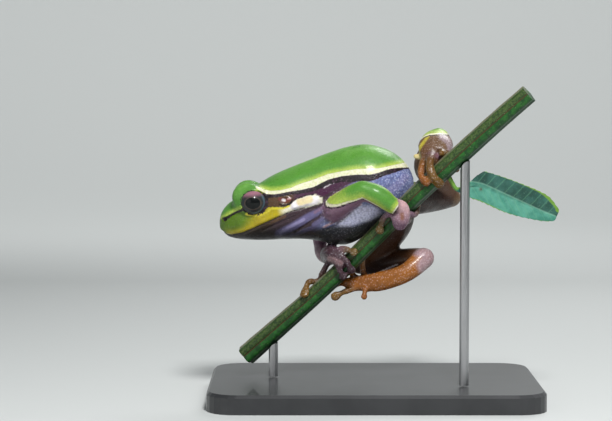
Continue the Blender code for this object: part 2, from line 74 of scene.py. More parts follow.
def smoothStep(low, high, values):
    # 0 below low, 1 above high, and 3t^2 - 2t^3 between
    t = np.clip((values - low) / (high - low), 0, 1)
    return t * t * (3 - 2 * t)


def bell(values, width):
    # 1 in the middle, falling off as exp(-(value / width)^2)
    return np.exp(-(values / width) ** 2)


def bells(values, rows):
    # a sum of bells; each row is a height, a place and a width
    return sum(height * bell(values - place, width) for height, place, width in rows)


def blendRows(start, end, share):
    # start where share is 0, end where it is 1
    return start * (1 - share[:, None]) + np.asarray(end, float) * share[:, None]


def ringSurface(rings):
    # quads between neighbouring rings of points, and one flat face over each end ring
    rings = np.asarray(rings, float)
    count, sides = rings.shape[:2]
    ring = np.arange(count - 1)[:, None] * sides
    side = np.arange(sides)[None, :]
    after = (side + 1) % sides
    quads = np.stack((ring + side, ring + after, ring + sides + after, ring + sides + side), axis=-1)
    caps = [list(range(sides))[::-1], list(range((count - 1) * sides, count * sides))]
    return rings.reshape(-1, 3), quads.reshape(-1, 4).tolist() + caps


def turns(sides):
    # even turns about a circle, in radians
    return np.arange(sides) * math.tau / sides


def tubeRings(path, halfWide, halfThick, sides, flatNormal=(0.0, 1.0, 0.0)):
    # an ellipse carried along a path, with quarter-circle domes at both ends;
    # the thin direction is given at the tip and turned as little as possible back to the root
    path = np.asarray(path, float)
    tangent = unit(np.gradient(path, axis=0))
    normal = np.empty_like(path)
    thin = np.array(flatNormal, float)
    for k in range(len(path) - 1, -1, -1):
        thin = unit(thin - tangent[k] * (thin @ tangent[k]))
        normal[k] = thin
    across = np.cross(tangent, normal)
    lean = np.radians((88, 70, 50, 28))
    index = np.concatenate((np.zeros(4, int), np.arange(len(path)), np.full(4, len(path) - 1)))
    shrink = np.concatenate((np.cos(lean), np.ones(len(path)), np.cos(lean[::-1])))
    reach = np.minimum(halfWide, halfThick * 1.2)
    push = np.concatenate((-reach[0] * np.sin(lean), np.zeros(len(path)), reach[-1] * np.sin(lean[::-1])))
    angle = turns(sides)
    wide = (halfWide[index] * shrink)[:, None, None] * np.cos(angle)[None, :, None]
    thick = (halfThick[index] * shrink)[:, None, None] * np.sin(angle)[None, :, None]
    centre = path[index] + tangent[index] * push[:, None]
    return centre[:, None, :] + wide * across[index][:, None, :] + thick * normal[index][:, None, :]


def latheRings(reach, height, sides):
    # circles about the third axis, one for each reach and height
    reach, height, angle = reach[:, None], height[:, None], turns(sides)
    return np.stack((reach * np.cos(angle), reach * np.sin(angle), height * np.ones(sides)), axis=-1)


def ballRings(centre, radii, rings=24, sides=36):
    # latitude circles of an ellipsoid
    lean = np.linspace(-math.pi / 2 + 0.04, math.pi / 2 - 0.04, rings)
    shape = latheRings(np.cos(lean), np.sin(lean), sides)
    return np.asarray(centre, float) + shape * np.asarray(radii, float)


def newObject(name, data):
    thing = bpy.data.objects.new(name, data)
    bpy.context.scene.collection.objects.link(thing)
    return thing


def meshObject(name, points, faces):
    mesh = bpy.data.meshes.new(name)
    mesh.from_pydata((points * mm).tolist(), [], faces)
    shape = bmesh.new()
    shape.from_mesh(mesh)
    bmesh.ops.remove_doubles(shape, verts=shape.verts, dist=1e-7)
    bmesh.ops.recalc_face_normals(shape, faces=shape.faces)
    shape.to_mesh(mesh)
    shape.free()
    return newObject(name, mesh)


def joinSurfaces(surfaces):
    # one list of points and faces from many, each face moved up by the points before it
    points, faces, start = [], [], 0
    for somePoints, someFaces in surfaces:
        points.append(somePoints)
        faces += [[corner + start for corner in face] for face in someFaces]
        start += len(somePoints)
    return np.vstack(points), faces


def readRows(collection, key, width, kind=float):
    values = np.empty(len(collection) * width, kind)
    collection.foreach_get(key, values)
    return values.reshape(-1, width)


def readPoints(mesh):
    return readRows(mesh.vertices, "co", 3) / mm


def writePoints(mesh, points):
    mesh.vertices.foreach_set("co", (points * mm).astype(np.float32).ravel())
    mesh.update()


def writeValues(mesh, **values):
    for name, rows in values.items():
        layer = mesh.attributes.new(name, "FLOAT", "POINT")
        layer.data.foreach_set("value", np.asarray(rows, np.float32))


def writeColours(mesh, name, colours):
    layer = mesh.attributes.new(name, "FLOAT_COLOR", "POINT")
    rows = np.ones((len(colours), 4), np.float32)
    rows[:, :3] = colours
    layer.data.foreach_set("color", rows.ravel())


def relax(points, edges, weight, rounds):
    # each point moves half way to the mean of its neighbours, times its own weight
    count = np.bincount(edges.ravel(), minlength=len(points))[:, None]
    a, b = edges.T
    for _ in range(rounds):
        total = np.stack([np.bincount(a, points[b, k], len(points))
                          + np.bincount(b, points[a, k], len(points)) for k in range(3)], axis=1)
        points = points + 0.5 * weight[:, None] * (total / count - points)
    return points


def screenTone(red, green, blue):
    # a colour given as screen values from 0 to 255, made linear
    value = np.array((red, green, blue)) / 255
    return tuple(np.where(value > 0.04045, ((value + 0.055) / 1.055) ** 2.4, value / 12.92).tolist())


def screenTones(table):
    return {name: screenTone(*value) for name, value in table.items()}


# The camera is set first, because the markings are laid out as it sees the frog's side

cameraSettings = {"aim": (-14.5, 0.0, 40.0), "distance": 420.0, "elevation": 4.0, "pixelsPerMm": 4.7,
                  "imageWidth": 612, "sensor": 36.0}


def addCamera():
    # square to the frog's left side, a little from above
    setting = cameraSettings
    lean = math.radians(setting["elevation"])
    camera = bpy.data.cameras.new("camera")
    camera.sensor_width = setting["sensor"]
    camera.lens = setting["pixelsPerMm"] * setting["distance"] / setting["imageWidth"] * setting["sensor"]
    camera.clip_start = 0.01
    camera.clip_end = 10
    thing = newObject("camera", camera)
    place = np.array(setting["aim"]) + setting["distance"] * np.array((0, -math.cos(lean), math.sin(lean)))
    thing.location = (place * mm).tolist()
    thing.rotation_euler = (math.radians(90) - lean, 0, 0)
    bpy.context.scene.camera = thing


def sideView(points, mirrored=True):
    # u along and v up in the side view at the aim's distance; mirrored, the right side is as the left
    lean = math.radians(cameraSettings["elevation"])
    aimX, _, aimZ = cameraSettings["aim"]
    deep = np.abs(points[:, 1]) if mirrored else -points[:, 1]
    grow = cameraSettings["distance"] / (cameraSettings["distance"] - deep * math.cos(lean))
    u = aimX + (points[:, 0] - aimX) * grow
    v = aimZ + ((points[:, 2] - aimZ) * math.cos(lean) - deep * math.sin(lean)) * grow
    return u, v


# Body: one closed form from snout to vent

bodySettings = {
    # place along X, top, bottom, half width
    "stations": (
        (-32.95, 37.6, 37.6, 0.0), (-32.45, 39.6, 35.8, 1.9), (-31.1, 41.5, 34.6, 3.7),
        (-28.8, 43.0, 34.0, 5.2), (-26.0, 44.8, 33.8, 6.3), (-22.4, 47.15, 33.8, 7.1),
        (-18.3, 49.0, 34.0, 7.4), (-14.0, 50.7, 33.9, 7.2), (-10.0, 52.2, 33.2, 7.6),
        (-6.0, 53.5, 32.8, 8.3), (-2.0, 54.1, 34.6, 8.6), (1.6, 53.4, 37.3, 8.0),
        (4.6, 52.0, 40.0, 6.7), (6.9, 49.8, 42.4, 4.9), (8.1, 47.4, 44.2, 2.5),
        (8.4, 45.9, 45.9, 0.0)),
    "midShare": 0.45,
    "squareness": 2.25,
    "sides": 96,
    "rings": 120,
}


def bodyTable(count):
    stations = bodySettings["stations"]
    return smoothCurve(stations, np.linspace(0.03, len(stations) - 1.03, count))


def bodyRings():
    # a squared ellipse whose upper and lower halves differ in height
    table = bodyTable(bodySettings["rings"])
    x, top, under, half = (column[:, None] for column in table.T)
    middle = under + (top - under) * bodySettings["midShare"]
    angle = turns(bodySettings["sides"])[None, :]
    power = 2 / bodySettings["squareness"]
    across = np.sign(np.cos(angle)) * np.abs(np.cos(angle)) ** power
    rise = np.sign(np.sin(angle)) * np.abs(np.sin(angle)) ** power
    z = middle + np.where(rise > 0, (top - middle) * rise, (middle - under) * rise)
    return np.stack((x + 0 * angle, half * across, z), axis=-1)


def bodyNearness(points):
    # how far outside the body form a point is, roughly, in millimetres
    table = bodyTable(400)
    top, under, half = (np.interp(points[:, 0], table[:, 0], table[:, k]) for k in (1, 2, 3))
    middle = under + (top - under) * bodySettings["midShare"]
    reach = np.where(points[:, 2] > middle, top - middle, middle - under) + 0.01
    power = bodySettings["squareness"]
    level = (np.abs(points[:, 1] / (half + 0.01)) ** power
             + np.abs((points[:, 2] - middle) / reach) ** power) ** (1 / power)
    outside = np.maximum(table[0, 0] - points[:, 0], points[:, 0] - table[-1, 0])
    return np.maximum((level - 1) * np.minimum(half, reach), outside)


# The stem: a slightly curved, ribbed rod cut off square at both ends

stemSettings = {
    # centre line and radius
    "rows": ((-27.4, 3.1, 8.5, 2.25), (-9.2, -2.5, 25.4, 1.9), (7.4, -8.0, 42.7, 2.0),
             (14.7, -10.1, 49.8, 2.05), (24.55, -13.2, 59.15, 2.0), (31.0, -15.2, 65.0, 1.95)),
    "ribs": 5,
    "ribRise": 0.075,
    "grooveTurn": 9.0,       # degrees from the viewer's side up to the main groove
    "grooveDepth": 0.055, "grooveWidth": 0.10,
    "waver": 0.010, "waverPace": 1.7,       # slight unevenness along the stem
    "sides": 150,
    "rings": 240,
}


def stemFrame(x):
    # centre, radius and directions at a place along X: front faces the viewer, upper is above it
    rows = stemSettings["rows"]
    last = len(rows) - 1
    table = smoothCurve(rows, np.linspace(0, last, 300))
    place = np.atleast_1d(np.interp(x, table[:, 0], np.linspace(0, last, 300)))
    here = smoothCurve(rows, place)
    ahead = smoothCurve(rows, np.minimum(place + 0.05, last))[:, :3]
    behind = smoothCurve(rows, np.maximum(place - 0.05, 0))[:, :3]
    along = unit(ahead - behind)
    front = unit(np.array((0.0, -1.0, 0.0)) + along * along[:, 1:2])
    upper = np.cross(along, front)
    upper = np.where(upper[:, 2:] > 0, upper, -upper)
    return here[:, :3], here[:, 3], front, upper


def onStem(x, turn, lift):
    # a point beside the stem: turn 0 faces the viewer, 90 is on top, -90 beneath
    centre, radius, front, upper = stemFrame(x)
    lean = math.radians(turn)
    return tuple((centre + (front * math.cos(lean) + upper * math.sin(lean)) * (radius + lift))[0])


# Colours of the skin, as screen values

skinTones = screenTones({
    "leafGreen": (84, 142, 52), "backGreen": (130, 184, 92), "limeGreen": (176, 196, 84),
    "cream": (224, 220, 196), "white": (236, 230, 234), "dark": (24, 13, 19), "darkSheen": (66, 44, 60),
    "yellow": (176, 158, 22), "brightYellow": (208, 196, 50), "snoutGreen": (84, 118, 16),
    # the two near-black tones on the next line are painted shade: beneath the body, and below the belly and
    # on the right upper arm
    "flank": (122, 132, 178), "belly": (222, 222, 248), "undersideShade": (34, 34, 30), "chestShade": (34, 32, 32),
    "throat": (110, 104, 146), "throatFold": (56, 38, 46), "lilac": (156, 148, 190),
    # the first tone on the next line is painted shade for the lower jaw
    "jawShade": (46, 32, 14), "lipBrown": (96, 68, 40), "bandBrown": (80, 56, 30),
    "bandPurple": (68, 32, 60), "padYellow": (222, 204, 140), "drumRed": (118, 60, 54),
    # the third tone on the next line is painted shade for the legs
    "orange": (140, 82, 22), "sole": (152, 92, 30), "legShade": (46, 20, 6), "brown": (112, 80, 44),
    "purple": (126, 88, 100), "darkPurple": (66, 42, 50), "olive": (104, 82, 38),
    "padOrange": (112, 80, 26), "pink": (206, 166, 168), "mauve": (128, 96, 116),
    "heel": (178, 162, 178), "heelShade": (88, 56, 34), "knee": (122, 96, 58),
    "paleCream": (205, 208, 160), "mottleGreen": (62, 118, 26), "poreGreen": (52, 96, 24),
})


# Limbs: each part has a centre line, its half thickness, and how its colours lie

limbSettings = {
    # rows: x, y, z, half thickness; green: at both ends, direction of the green side and where it starts
    "upperArmLeft": {
        "rows": ((-8.6, -3.6, 40.5, 2.5), (-8.4, -7.2, 40.8, 2.5), (-5.3, -9.8, 43.4, 2.35),
                 (-2.7, -11.1, 45.0, 2.1)),
        "green": (((0, -0.45, 0.89), 0.76), ((0, -0.78, 0.62), 0.26)),
        "tones": ("mauve", "mauve"), "greenAfter": -10.1},
    "forearmLeft": {
        "rows": ((-2.7, -11.1, 45.0, 2.1), (0.5, -11.6, 43.8, 2.2), (3.4, -11.9, 41.8, 1.75)),
        "green": (((0, -0.78, 0.62), 0.26), ((0.1, -0.97, 0.17), 0.24)),
        "tones": ("mauve", "darkPurple"), "greenEnd": 0.75},
    # the right upper arm begins in painted shade at the shoulder
    "upperArmRight": {
        "rows": ((-10.6, 3.6, 39.0, 2.4), (-11.0, 6.4, 37.6, 2.4), (-11.2, 8.6, 34.6, 2.1),
                 (-11.0, 9.9, 32.0, 1.9)),
        "green": (((0, 0.6, 0.8), 0.55), ((0, 0.95, 0.3), 0.25)), "tones": ("chestShade", "mauve")},
    "forearmRight": {
        "rows": ((-11.0, 9.9, 32.0, 1.9), (-10.6, 6.2, 30.4, 1.9), (-10.1, 2.4, 29.8, 1.45)),
        "green": (((0, 0.95, 0.3), 0.25), ((0.1, 1.0, 0.1), 0.75)),
        "tones": ("mauve", "purple"), "greenEnd": -1.2},
    # painted shade over the thigh, turning to a lighter tone at the knee
    "thighRight": {
        "rows": ((4.6, 2.6, 43.0, 3.6), (9.0, 6.4, 42.2, 3.5), (13.4, 10.9, 41.8, 2.8),
                 (17.6, 14.5, 41.8, 2.1)),
        "green": (((-0.1, 0.5, 0.85), 0.50), ((-0.1, 0.5, 0.85), 0.50)),
        "tones": ("legShade", "knee"), "turnAt": (0.85, 1.0)},
    "shankRight": {
        "rows": ((17.6, 14.5, 41.8, 2.1), (14.6, 11.0, 45.0, 2.5), (11.6, 7.2, 48.7, 2.75),
                 (12.5, 4.5, 52.2, 2.75), (13.8, 2.1, 55.2, 2.4)),
        "green": (((0.1, 0.9, 0.4), 0.35), ((-0.1, 0.8, 0.6), 0.40)), "cap": True,
        "tones": ("heelShade", "brown"), "turnAt": (0.5, 0.9)},
    # painted shade over this thigh, running into the heel's painted shade
    "thighLeft": {
        "rows": ((4.8, -0.6, 42.0, 3.6), (4.4, 1.8, 37.4, 3.9), (1.0, 4.8, 31.8, 3.2),
                 (-2.8, 7.0, 28.0, 2.4)),
        "green": (((-0.3, 0.85, 0.3), 0.45), ((-0.3, 0.85, 0.3), 0.45)),
        "tones": ("legShade", "heelShade")},
    # painted shade along the shank, running into the heel's painted shade
    "shankLeft": {
        "rows": ((-2.8, 7.0, 28.0, 2.4), (1.6, 5.0, 28.3, 2.6), (6.6, 2.2, 29.4, 2.3),
                 (10.7, -0.8, 30.2, 1.9)),
        "green": (((-0.1, 0.9, -0.3), 0.45), ((-0.1, 0.9, -0.3), 0.62)),
        "tones": ("legShade", "heelShade"), "turnAt": (0.35, 1.0),
        # painted highlight: a wet glint along the crease above the foot
        "strokes": ((((1.05, 26.8), (4.9, 28.5)), 0.2, "white", 0.9),)},
}

digitSettings = {
    "half": 0.62, "pad": 0.98, "padThick": 0.62,
    # as shares of the digit's length: knuckles as rows of bells, the neck before the pad, and the pad
    "knuckles": ((0.10, 0.42, 0.06), (0.12, 0.70, 0.05)),
    "neck": (0.72, 0.84), "neckShrink": 0.12, "padFrom": (0.84, 0.93),
}

# each palm or sole: points with half width and half thickness, then its digits
handSettings = {
    "handLeft": {
        "palm": ((3.7, -11.8, 42.0, 1.5, 1.3), (5.0, -11.6, 41.6, 1.5, 1.3), (5.5, -11.3, 40.6, 1.6, 1.2),
                 (5.1, -11.0, 38.9, 2.0, 1.2), (4.9, -10.3, 37.6, 1.5, 0.9)),
        "flat": (0, 1, 0), "middle": (5.1, -11.0, 38.9), "tones": ("pink", "mauve", "olive"),
        "strokes": ((((5.9, 39.2), (6.0, 38.3)), 0.6, "orange", 0.7),),
        "digits": (
            {"root": (4.9, -11.3, 40.4), "route": ((2.9, -11.0, 40.2), onStem(3.2, 36, 0.8),
             onStem(2.2, 22, 0.7), onStem(1.5, 8, 0.65)), "flat": (0.2, 1, 0.2), "tones": ("mauve", "olive")},
            {"route": (onStem(4.1, -25, 0.8), onStem(3.7, -60, 0.65), onStem(3.7, -97, 0.6),
                       onStem(4.0, -132, 0.6)), "flat": (0.6, 0.7, 0.4)},
            {"route": (onStem(5.0, -40, 1.0), onStem(5.0, -75, 0.7), onStem(5.2, -115, 0.65),
                       onStem(5.5, -150, 0.6)), "flat": (0.6, 0.7, 0.4)},
            {"route": (onStem(6.2, -30, 1.1), onStem(6.3, -75, 0.75), onStem(6.9, -115, 0.65),
                       onStem(7.6, -150, 0.6)), "flat": (0.6, 0.7, 0.4)},
        ),
    },
    "handRight": {
        "palm": ((-10.0, 1.6, 29.7, 1.45, 1.4), (-9.7, -0.8, 30.6, 1.9, 1.7), (-8.5, -3.4, 30.7, 2.5, 1.9),
                 (-7.3, -5.0, 29.5, 2.2, 1.2)),
        "flat": (0.3, 0.5, 1), "middle": (-8.5, -3.4, 30.7),
        "tones": ("throatFold", "darkPurple", "darkPurple"),
        "strokes": ((((-9.5, 29.7), (-7.1, 28.8)), 0.8, "pink", 0.45),),
        "digits": (
            {"route": ((-7.1, -5.0, 32.3), onStem(-3.8, 52, 0.9), onStem(-3.3, 20, 0.7)),
             "flat": (0.3, 1, -0.3), "tones": ("mauve", "olive")},
            {"route": ((-7.6, -5.6, 31.2), onStem(-5.0, 24, 0.8), onStem(-5.2, -5, 0.7),
                       onStem(-5.6, -35, 0.6)), "flat": (0, 1, 0.2)},
            {"route": ((-8.4, -5.2, 29.6), onStem(-6.5, 30, 0.8), onStem(-6.8, 0, 0.7),
                       onStem(-7.1, -28, 0.6)), "flat": (0, 1, 0.2)},
            {"route": ((-9.9, -2.4, 28.9), onStem(-9.9, 126, 0.65), onStem(-11.2, 148, 0.65),
                       onStem(-12.1, 104, 1.0), onStem(-13.4, 40, 0.65)), "flat": (0.5, 1, -0.5),
             "half": 0.65, "pad": 1.05, "tones": ("darkPurple", "padOrange")},
        ),
    },
    "footRight": {
        "palm": ((13.5, 2.0, 54.9, 3.1, 2.3), (13.2, -1.2, 54.4, 3.5, 2.0), (12.4, -4.3, 53.0, 3.5, 1.5),
                 (11.8, -7.1, 51.6, 2.5, 1.1), (11.5, -9.1, 50.8, 1.6, 0.8)),
        "flat": (0.2, 0.45, 0.9), "middle": (12.4, -4.3, 53.0), "tones": ("brown", "heelShade", "padOrange"),
        "cap": True,
        "strokes": ((((14.4, 55.6), (15.8, 54.6), (16.2, 53.2)), 0.9, "heel", 0.45),
                    (((11.9, 51.9), (14.4, 51.4)), 0.8, "purple", 0.8),
                    (((11.7, 56.2), (9.8, 53.6), (9.0, 52.0)), 0.45, "brightYellow", 0.6)),
        "digits": (
            {"route": ((10.9, -5.4, 52.1), (9.6, -5.2, 51.4), (8.6, -4.6, 51.7)),
             "flat": (0.3, 1, 0.3), "half": 0.5, "pad": 0.58, "tones": ("brown", "padYellow")},
            {"route": ((9.9, -8.0, 50.8), onStem(11.3, 66, 0.85), onStem(11.1, 42, 0.75),
                       onStem(11.3, 12, 0.65)), "flat": (0.3, 1, 0.2), "half": 0.72, "pad": 1.05,
             "tones": ("brown", "orange")},
            {"route": ((11.4, -9.2, 51.5), onStem(13.0, 52, 0.95), onStem(12.6, 10, 0.9),
                       onStem(12.4, -36, 0.75)), "flat": (0.3, 1, 0.2), "half": 0.9, "pad": 1.15},
            {"route": ((13.8, -8.0, 53.0), onStem(15.4, 95, 0.8), onStem(15.6, 125, 0.7),
                       onStem(15.5, 155, 0.6)), "flat": (0.6, 0.5, 0.6)},
            # this toe starts in painted shade
            {"route": ((13.2, -4.6, 51.3), (13.7, -5.8, 49.8), onStem(14.6, 200, 0.7),
                       onStem(15.2, 225, 0.6)), "flat": (0.6, 0.5, 0.6), "half": 0.58, "pad": 0.85,
             "tones": ("legShade", "orange")},
        ),
    },
    "footLeft": {
        "palm": ((10.6, -1.4, 30.0, 2.3, 1.9), (6.4, -3.3, 26.9, 2.0, 1.5), (0.6, -2.6, 25.0, 2.1, 1.1),
                 (-3.4, -1.7, 24.6, 1.7, 0.8), (-6.2, -1.0, 24.7, 1.1, 0.7)),
        "flat": (0.1, 1, 0), "middle": (0.6, -2.6, 25.0), "tones": ("sole", "orange", "padOrange"),
        "strokes": ((((9.6, 31.8), (11.4, 31.2), (11.9, 29.6), (10.8, 28.2)), 2.3, "heel", 0.6),),
        "digits": (
            {"route": ((-1.7, -3.0, 23.8), (-2.1, -3.3, 22.5), (-2.2, -3.4, 21.9)),
             "flat": (0, 1, 0), "half": 0.55, "pad": 0.7, "tones": ("orange", "sole")},
            {"route": ((-3.8, -2.0, 23.6), (-6.3, -2.4, 22.9), (-7.8, -2.7, 22.2), (-8.5, -2.8, 21.8)),
             "flat": (0.4, 1, 0.3), "half": 0.62, "pad": 1.0},
            {"route": ((-4.4, -0.4, 24.6), onStem(-9.4, -140, 0.8), onStem(-12.0, -150, 0.7),
                       onStem(-13.2, -160, 0.6)), "flat": (0.4, 1, 0.3)},
            {"route": ((-3.6, 0.0, 25.6), onStem(-7.0, -165, 0.8), onStem(-9.6, 170, 0.7),
                       onStem(-11.6, 150, 0.6)), "flat": (0.3, 1, -0.3)},
            {"route": ((-2.2, -0.2, 26.6), onStem(-3.6, -165, 0.8), onStem(-4.8, 165, 0.6)),
             "flat": (0.3, 1, -0.3)},
        ),
    },
}


def digitSizes(count, digit):
    # even thickness with two soft knuckles, then a round pad over the last seventh
    setting = {**digitSettings, **digit}
    share = np.linspace(0, 1, count)
    knuckle = 1 + bells(share, setting["knuckles"])
    rise = smoothStep(*setting["padFrom"], share)
    neck = 1 - setting["neckShrink"] * smoothStep(*setting["neck"], share)
    wide = setting["half"] * knuckle * neck * (1 - rise) + setting["pad"] * rise
    thick = setting["half"] * knuckle * (1 - rise) + setting["padThick"] * rise
    return {"wide": wide, "thick": thick}


def limbParts():
    # every tube of the limbs as path, half width, half thickness and how it is coloured
    parts = []
    for name, limb in limbSettings.items():
        curve = evenCurve(limb["rows"], 26)
        parts.append({**limb, "name": name, "path": curve[:, :3], "wide": curve[:, 3],
                      "thick": curve[:, 3], "sides": 28, "flat": (0, 1, 0)})
    for name, hand in handSettings.items():
        curve = evenCurve(hand["palm"], 16)
        parts.append({"name": name, "path": curve[:, :3], "wide": curve[:, 3], "thick": curve[:, 4],
                      "sides": 24, "flat": hand["flat"], "green": None, "cap": hand.get("cap", False),
                      "strokes": hand.get("strokes", ()), "tones": hand["tones"][:2]})
        for number, digit in enumerate(hand["digits"]):
            path = evenCurve((digit.get("root", hand["middle"]),) + digit["route"], 26)
            parts.append({"name": f"{name}Digit{number}", "path": path, "sides": 16,
                          "flat": digit["flat"], "green": None,
                          "tones": digit.get("tones", hand["tones"][1:]), **digitSizes(len(path), digit)})
    return parts


# Head and markings; pairs of numbers are u and v in the side view

headSettings = {
    "eye": (-25.5, 5.25, 42.2), "eyeRadius": 2.75, "lidRadius": 3.5,
    "opening": (2.60, 2.40), "openingShift": (0.10, -0.20),
    "brow": {"centre": (-26.6, 4.4, 43.05), "radii": (3.55, 2.7, 3.3)},
    "mouth": ((-33.4, 36.6), (-32.4, 35.6), (-31.3, 34.85), (-30.4, 34.7), (-28.0, 35.2), (-25.95, 36.05),
              (-23.5, 37.2), (-21.1, 38.3), (-18.8, 39.3), (-17.4, 39.85), (-15.8, 40.25), (-13.7, 40.75),
              (-10.5, 41.8)),
    "mouthCorner": -14.6,
    "nostril": (-31.75, 38.15),
    "eardrum": (-18.95, 42.05), "eardrumRadii": (1.15, 0.85),
    "canthus": ((-28.0, 40.1), (-29.0, 39.75), (-30.0, 39.25), (-31.0, 38.65), (-31.75, 38.15)),
    "pad": ((-17.0, 40.95), (-15.0, 41.75), (-12.5, 42.15)), "padWidth": (0.72, 1.12),
    "eardrumShade": ((-20.1, 41.3), (-19.2, 41.0), (-18.1, 41.35), (-17.4, 42.1)),
}

lidSettings = {
    # the lid over the eyeball: its gap, thickness and the length over which it rounds; then the socket's
    # depth behind the ball; spans are along the ball from the rim, or out from the eye's centre
    "gap": 0.20, "thickness": 0.36, "rounding": 0.42, "socket": 0.40, "rim": (-0.10, 0.12),
    "ontoHead": (0.0, 1.5), "fade": (0.5, 1.6), "reach": (3.7, 4.6),
}

carveSettings = {
    # the head is carved in front of the end and above the floor; a list of rows gives bells across a
    # mark, and a pair is a span over which a form fades or widens
    "end": -9.5, "floor": 33.0, "cornerFade": 1.2, "underFade": (0.80, 0.95),
    "lips": ((-0.26, 0, 0.16), (0.10, 0.5, 0.4), (0.06, -0.5, 0.35)),
    "nostril": ((-0.45, 0, 0.34), (0.10, 0.62, 0.22)),
    "eardrum": ((0.12, 1, 0.18),), "drumHollow": 0.07, "drumSpan": (0.6, 0.95),
    "padSpan": (-17.0, -12.8), "padRise": 0.34, "padFade": (0.25, 1.1), "padGroove": ((-0.10, 1.25, 0.2),),
    "canthus": ((-0.07, 0, 0.25),), "canthusRidge": ((0.10, 0.55, 0.3),),
    "throatFold": ((-0.12, 0, 0.28),), "throatSwell": ((0.07, 0, 0.6),), "swellFrom": 0.5,
    # granules of belly and flank, and the fold by the arm
    "beadSpacing": 0.55, "beadSeed": 3.0, "beadEdge": (0.15, 0.62), "beadRise": 0.10, "beadSink": 0.03,
    "flankSpan": (-13.0, -9.0), "bellyGranules": 0.25,
    "armFold": ((0.16, 0, 0.35),), "armGroove": ((-0.14, 0, 0.3),),
}

markSettings = {
    # lower edge of the green on the snout, then the pale line and the dark line along the side
    "snoutEdge": ((-34.0, 37.4), (-32.3, 38.3), (-31.0, 39.0), (-30.0, 39.55), (-29.0, 40.0),
                  (-28.0, 40.35), (-27.4, 41.2), (-24.2, 44.75)),
    "creamStart": -24.2,
    "creamTop": ((-25.2, 45.25), (-24.2, 44.75), (-23.7, 44.55), (-21.9, 44.15), (-19.9, 44.3), (-17.8, 44.8),
                 (-15.8, 45.65), (-12.8, 46.6), (-9.8, 47.75), (-6.8, 48.35), (-3.8, 48.8), (0.9, 48.95),
                 (2.1, 49.2), (3.6, 49.55), (5.1, 49.85), (6.6, 50.25), (9.0, 50.6)),
    "darkTop": ((-25.2, 44.75), (-24.2, 44.2), (-22.9, 43.5), (-21.4, 43.4), (-19.9, 43.6), (-17.8, 44.05),
                (-15.8, 44.3), (-12.8, 45.0), (-9.8, 46.55), (-6.8, 47.3), (-3.8, 47.6), (-0.9, 47.6),
                (0.9, 48.0), (2.1, 48.45), (3.6, 48.85), (5.1, 49.05), (9.0, 49.2)),
    "darkLow": ((-23.6, 40.8), (-20.3, 40.8), (-19.2, 40.75), (-17.8, 41.35), (-16.6, 42.4), (-14.5, 43.15),
                (-12.5, 43.4), (-11.2, 42.8), (-9.8, 43.6), (-6.8, 45.0), (-3.8, 46.2), (-0.9, 46.2),
                (0.6, 46.7), (2.1, 47.4), (3.3, 47.7), (5.1, 48.3), (6.3, 48.8), (9.0, 49.0)),
    "blackWidth": ((-23.4, 1.5), (-22.2, 0.7), (-19.0, 0.7), (-14.0, 0.9), (-10.0, 1.1), (-7.5, 1.2),
                   (-4.0, 1.5), (-1.5, 2.2)),
    "belly": ((-16.0, 34.3), (-12.9, 35.7), (-10.5, 36.4), (-7.6, 36.7), (-4.4, 36.7), (-1.2, 37.8),
              (0.5, 38.5), (3.2, 39.8), (6.0, 42.0)),
    "heelCap": ((7.0, 51.0), (8.8, 53.6), (9.6, 55.0), (10.6, 55.9), (11.8, 56.3), (13.9, 56.5),
                (16.5, 56.3), (18.5, 55.6)),
    # half widths of the fine dark marks, and where the dark line under the band starts and ends
    "canthusHalf": 0.27, "nostrilHalf": 0.48, "mouthHalf": 0.10, "drumHalf": 0.16, "edgeHalf": 0.11,
    "edgeSpan": (-23.3, -11.0), "bandStart": -23.6, "eyeRing": 0.10, "eyeReach": 3.45,
    # where tones give way to each other along the view
    "jawTurn": (-23.0, -19.5), "jawEnd": (-11.5, -8.0), "yellowTurn": (-28.6, -24.6),
    "lipYellow": (-32.3, -30.5), "creamTurn": (-20.9, -18.6), "cheekEnd": (-11.2, -10.8),
    "purpleTurn": (-18.2, -16.0), "underTurn": (0.30, 0.90),
}

# soft strokes: a line, its half width, its tone and how much it covers
jawStrokes = (
    # the darkest strokes here lie on folds that the head carving sinks: painted shade in the folds
    (((-23.5, 35.8), (-20.7, 37.0), (-17.4, 38.6), (-14.5, 39.7)), 0.45, "throatFold", 0.85),
    (((-20.3, 35.0), (-17.4, 36.5), (-13.7, 38.7), (-10.5, 40.1)), 1.15, "throat", 0.9),
    (((-20.0, 35.3), (-17.6, 36.7), (-15.0, 38.1)), 0.45, "lilac", 0.8),
    (((-18.2, 34.4), (-14.6, 35.8), (-11.3, 37.1)), 0.6, "throat", 0.6),
    (((-17.0, 35.3), (-13.7, 37.4), (-10.9, 39.3), (-7.6, 40.8)), 0.36, "throatFold", 0.85),
    (((-12.9, 37.0), (-9.7, 39.1), (-6.4, 41.0)), 0.55, "throat", 0.7),
    (((-12.6, 39.6), (-10.5, 40.9), (-8.6, 41.5)), 0.40, "mauve", 0.7),
    (((-19.2, 38.55), (-17.3, 39.35), (-15.2, 39.95), (-12.4, 40.55)), 0.3, "throatFold", 0.9),
    (((-30.0, 34.2), (-26.0, 35.6), (-22.5, 37.1), (-19.0, 38.75)), 0.42, "lipBrown", 0.75),
)
flankStrokes = (
    (((-6.4, 38.0), (-3.0, 39.2), (-0.2, 39.0)), 2.6, "belly", 0.95),
    (((-10.7, 36.5), (-8.9, 37.4), (-6.8, 39.1), (-4.4, 40.6), (-2.9, 41.3)), 0.30, "pink", 0.85),
    # painted shade in the groove below the arm fold
    (((-10.0, 36.0), (-8.2, 36.9), (-6.2, 38.4), (-4.9, 40.0)), 0.28, "throatFold", 0.7),
    (((1.5, 43.0), (4.6, 45.0), (6.6, 47.0)), 1.2, "lilac", 0.45),
)
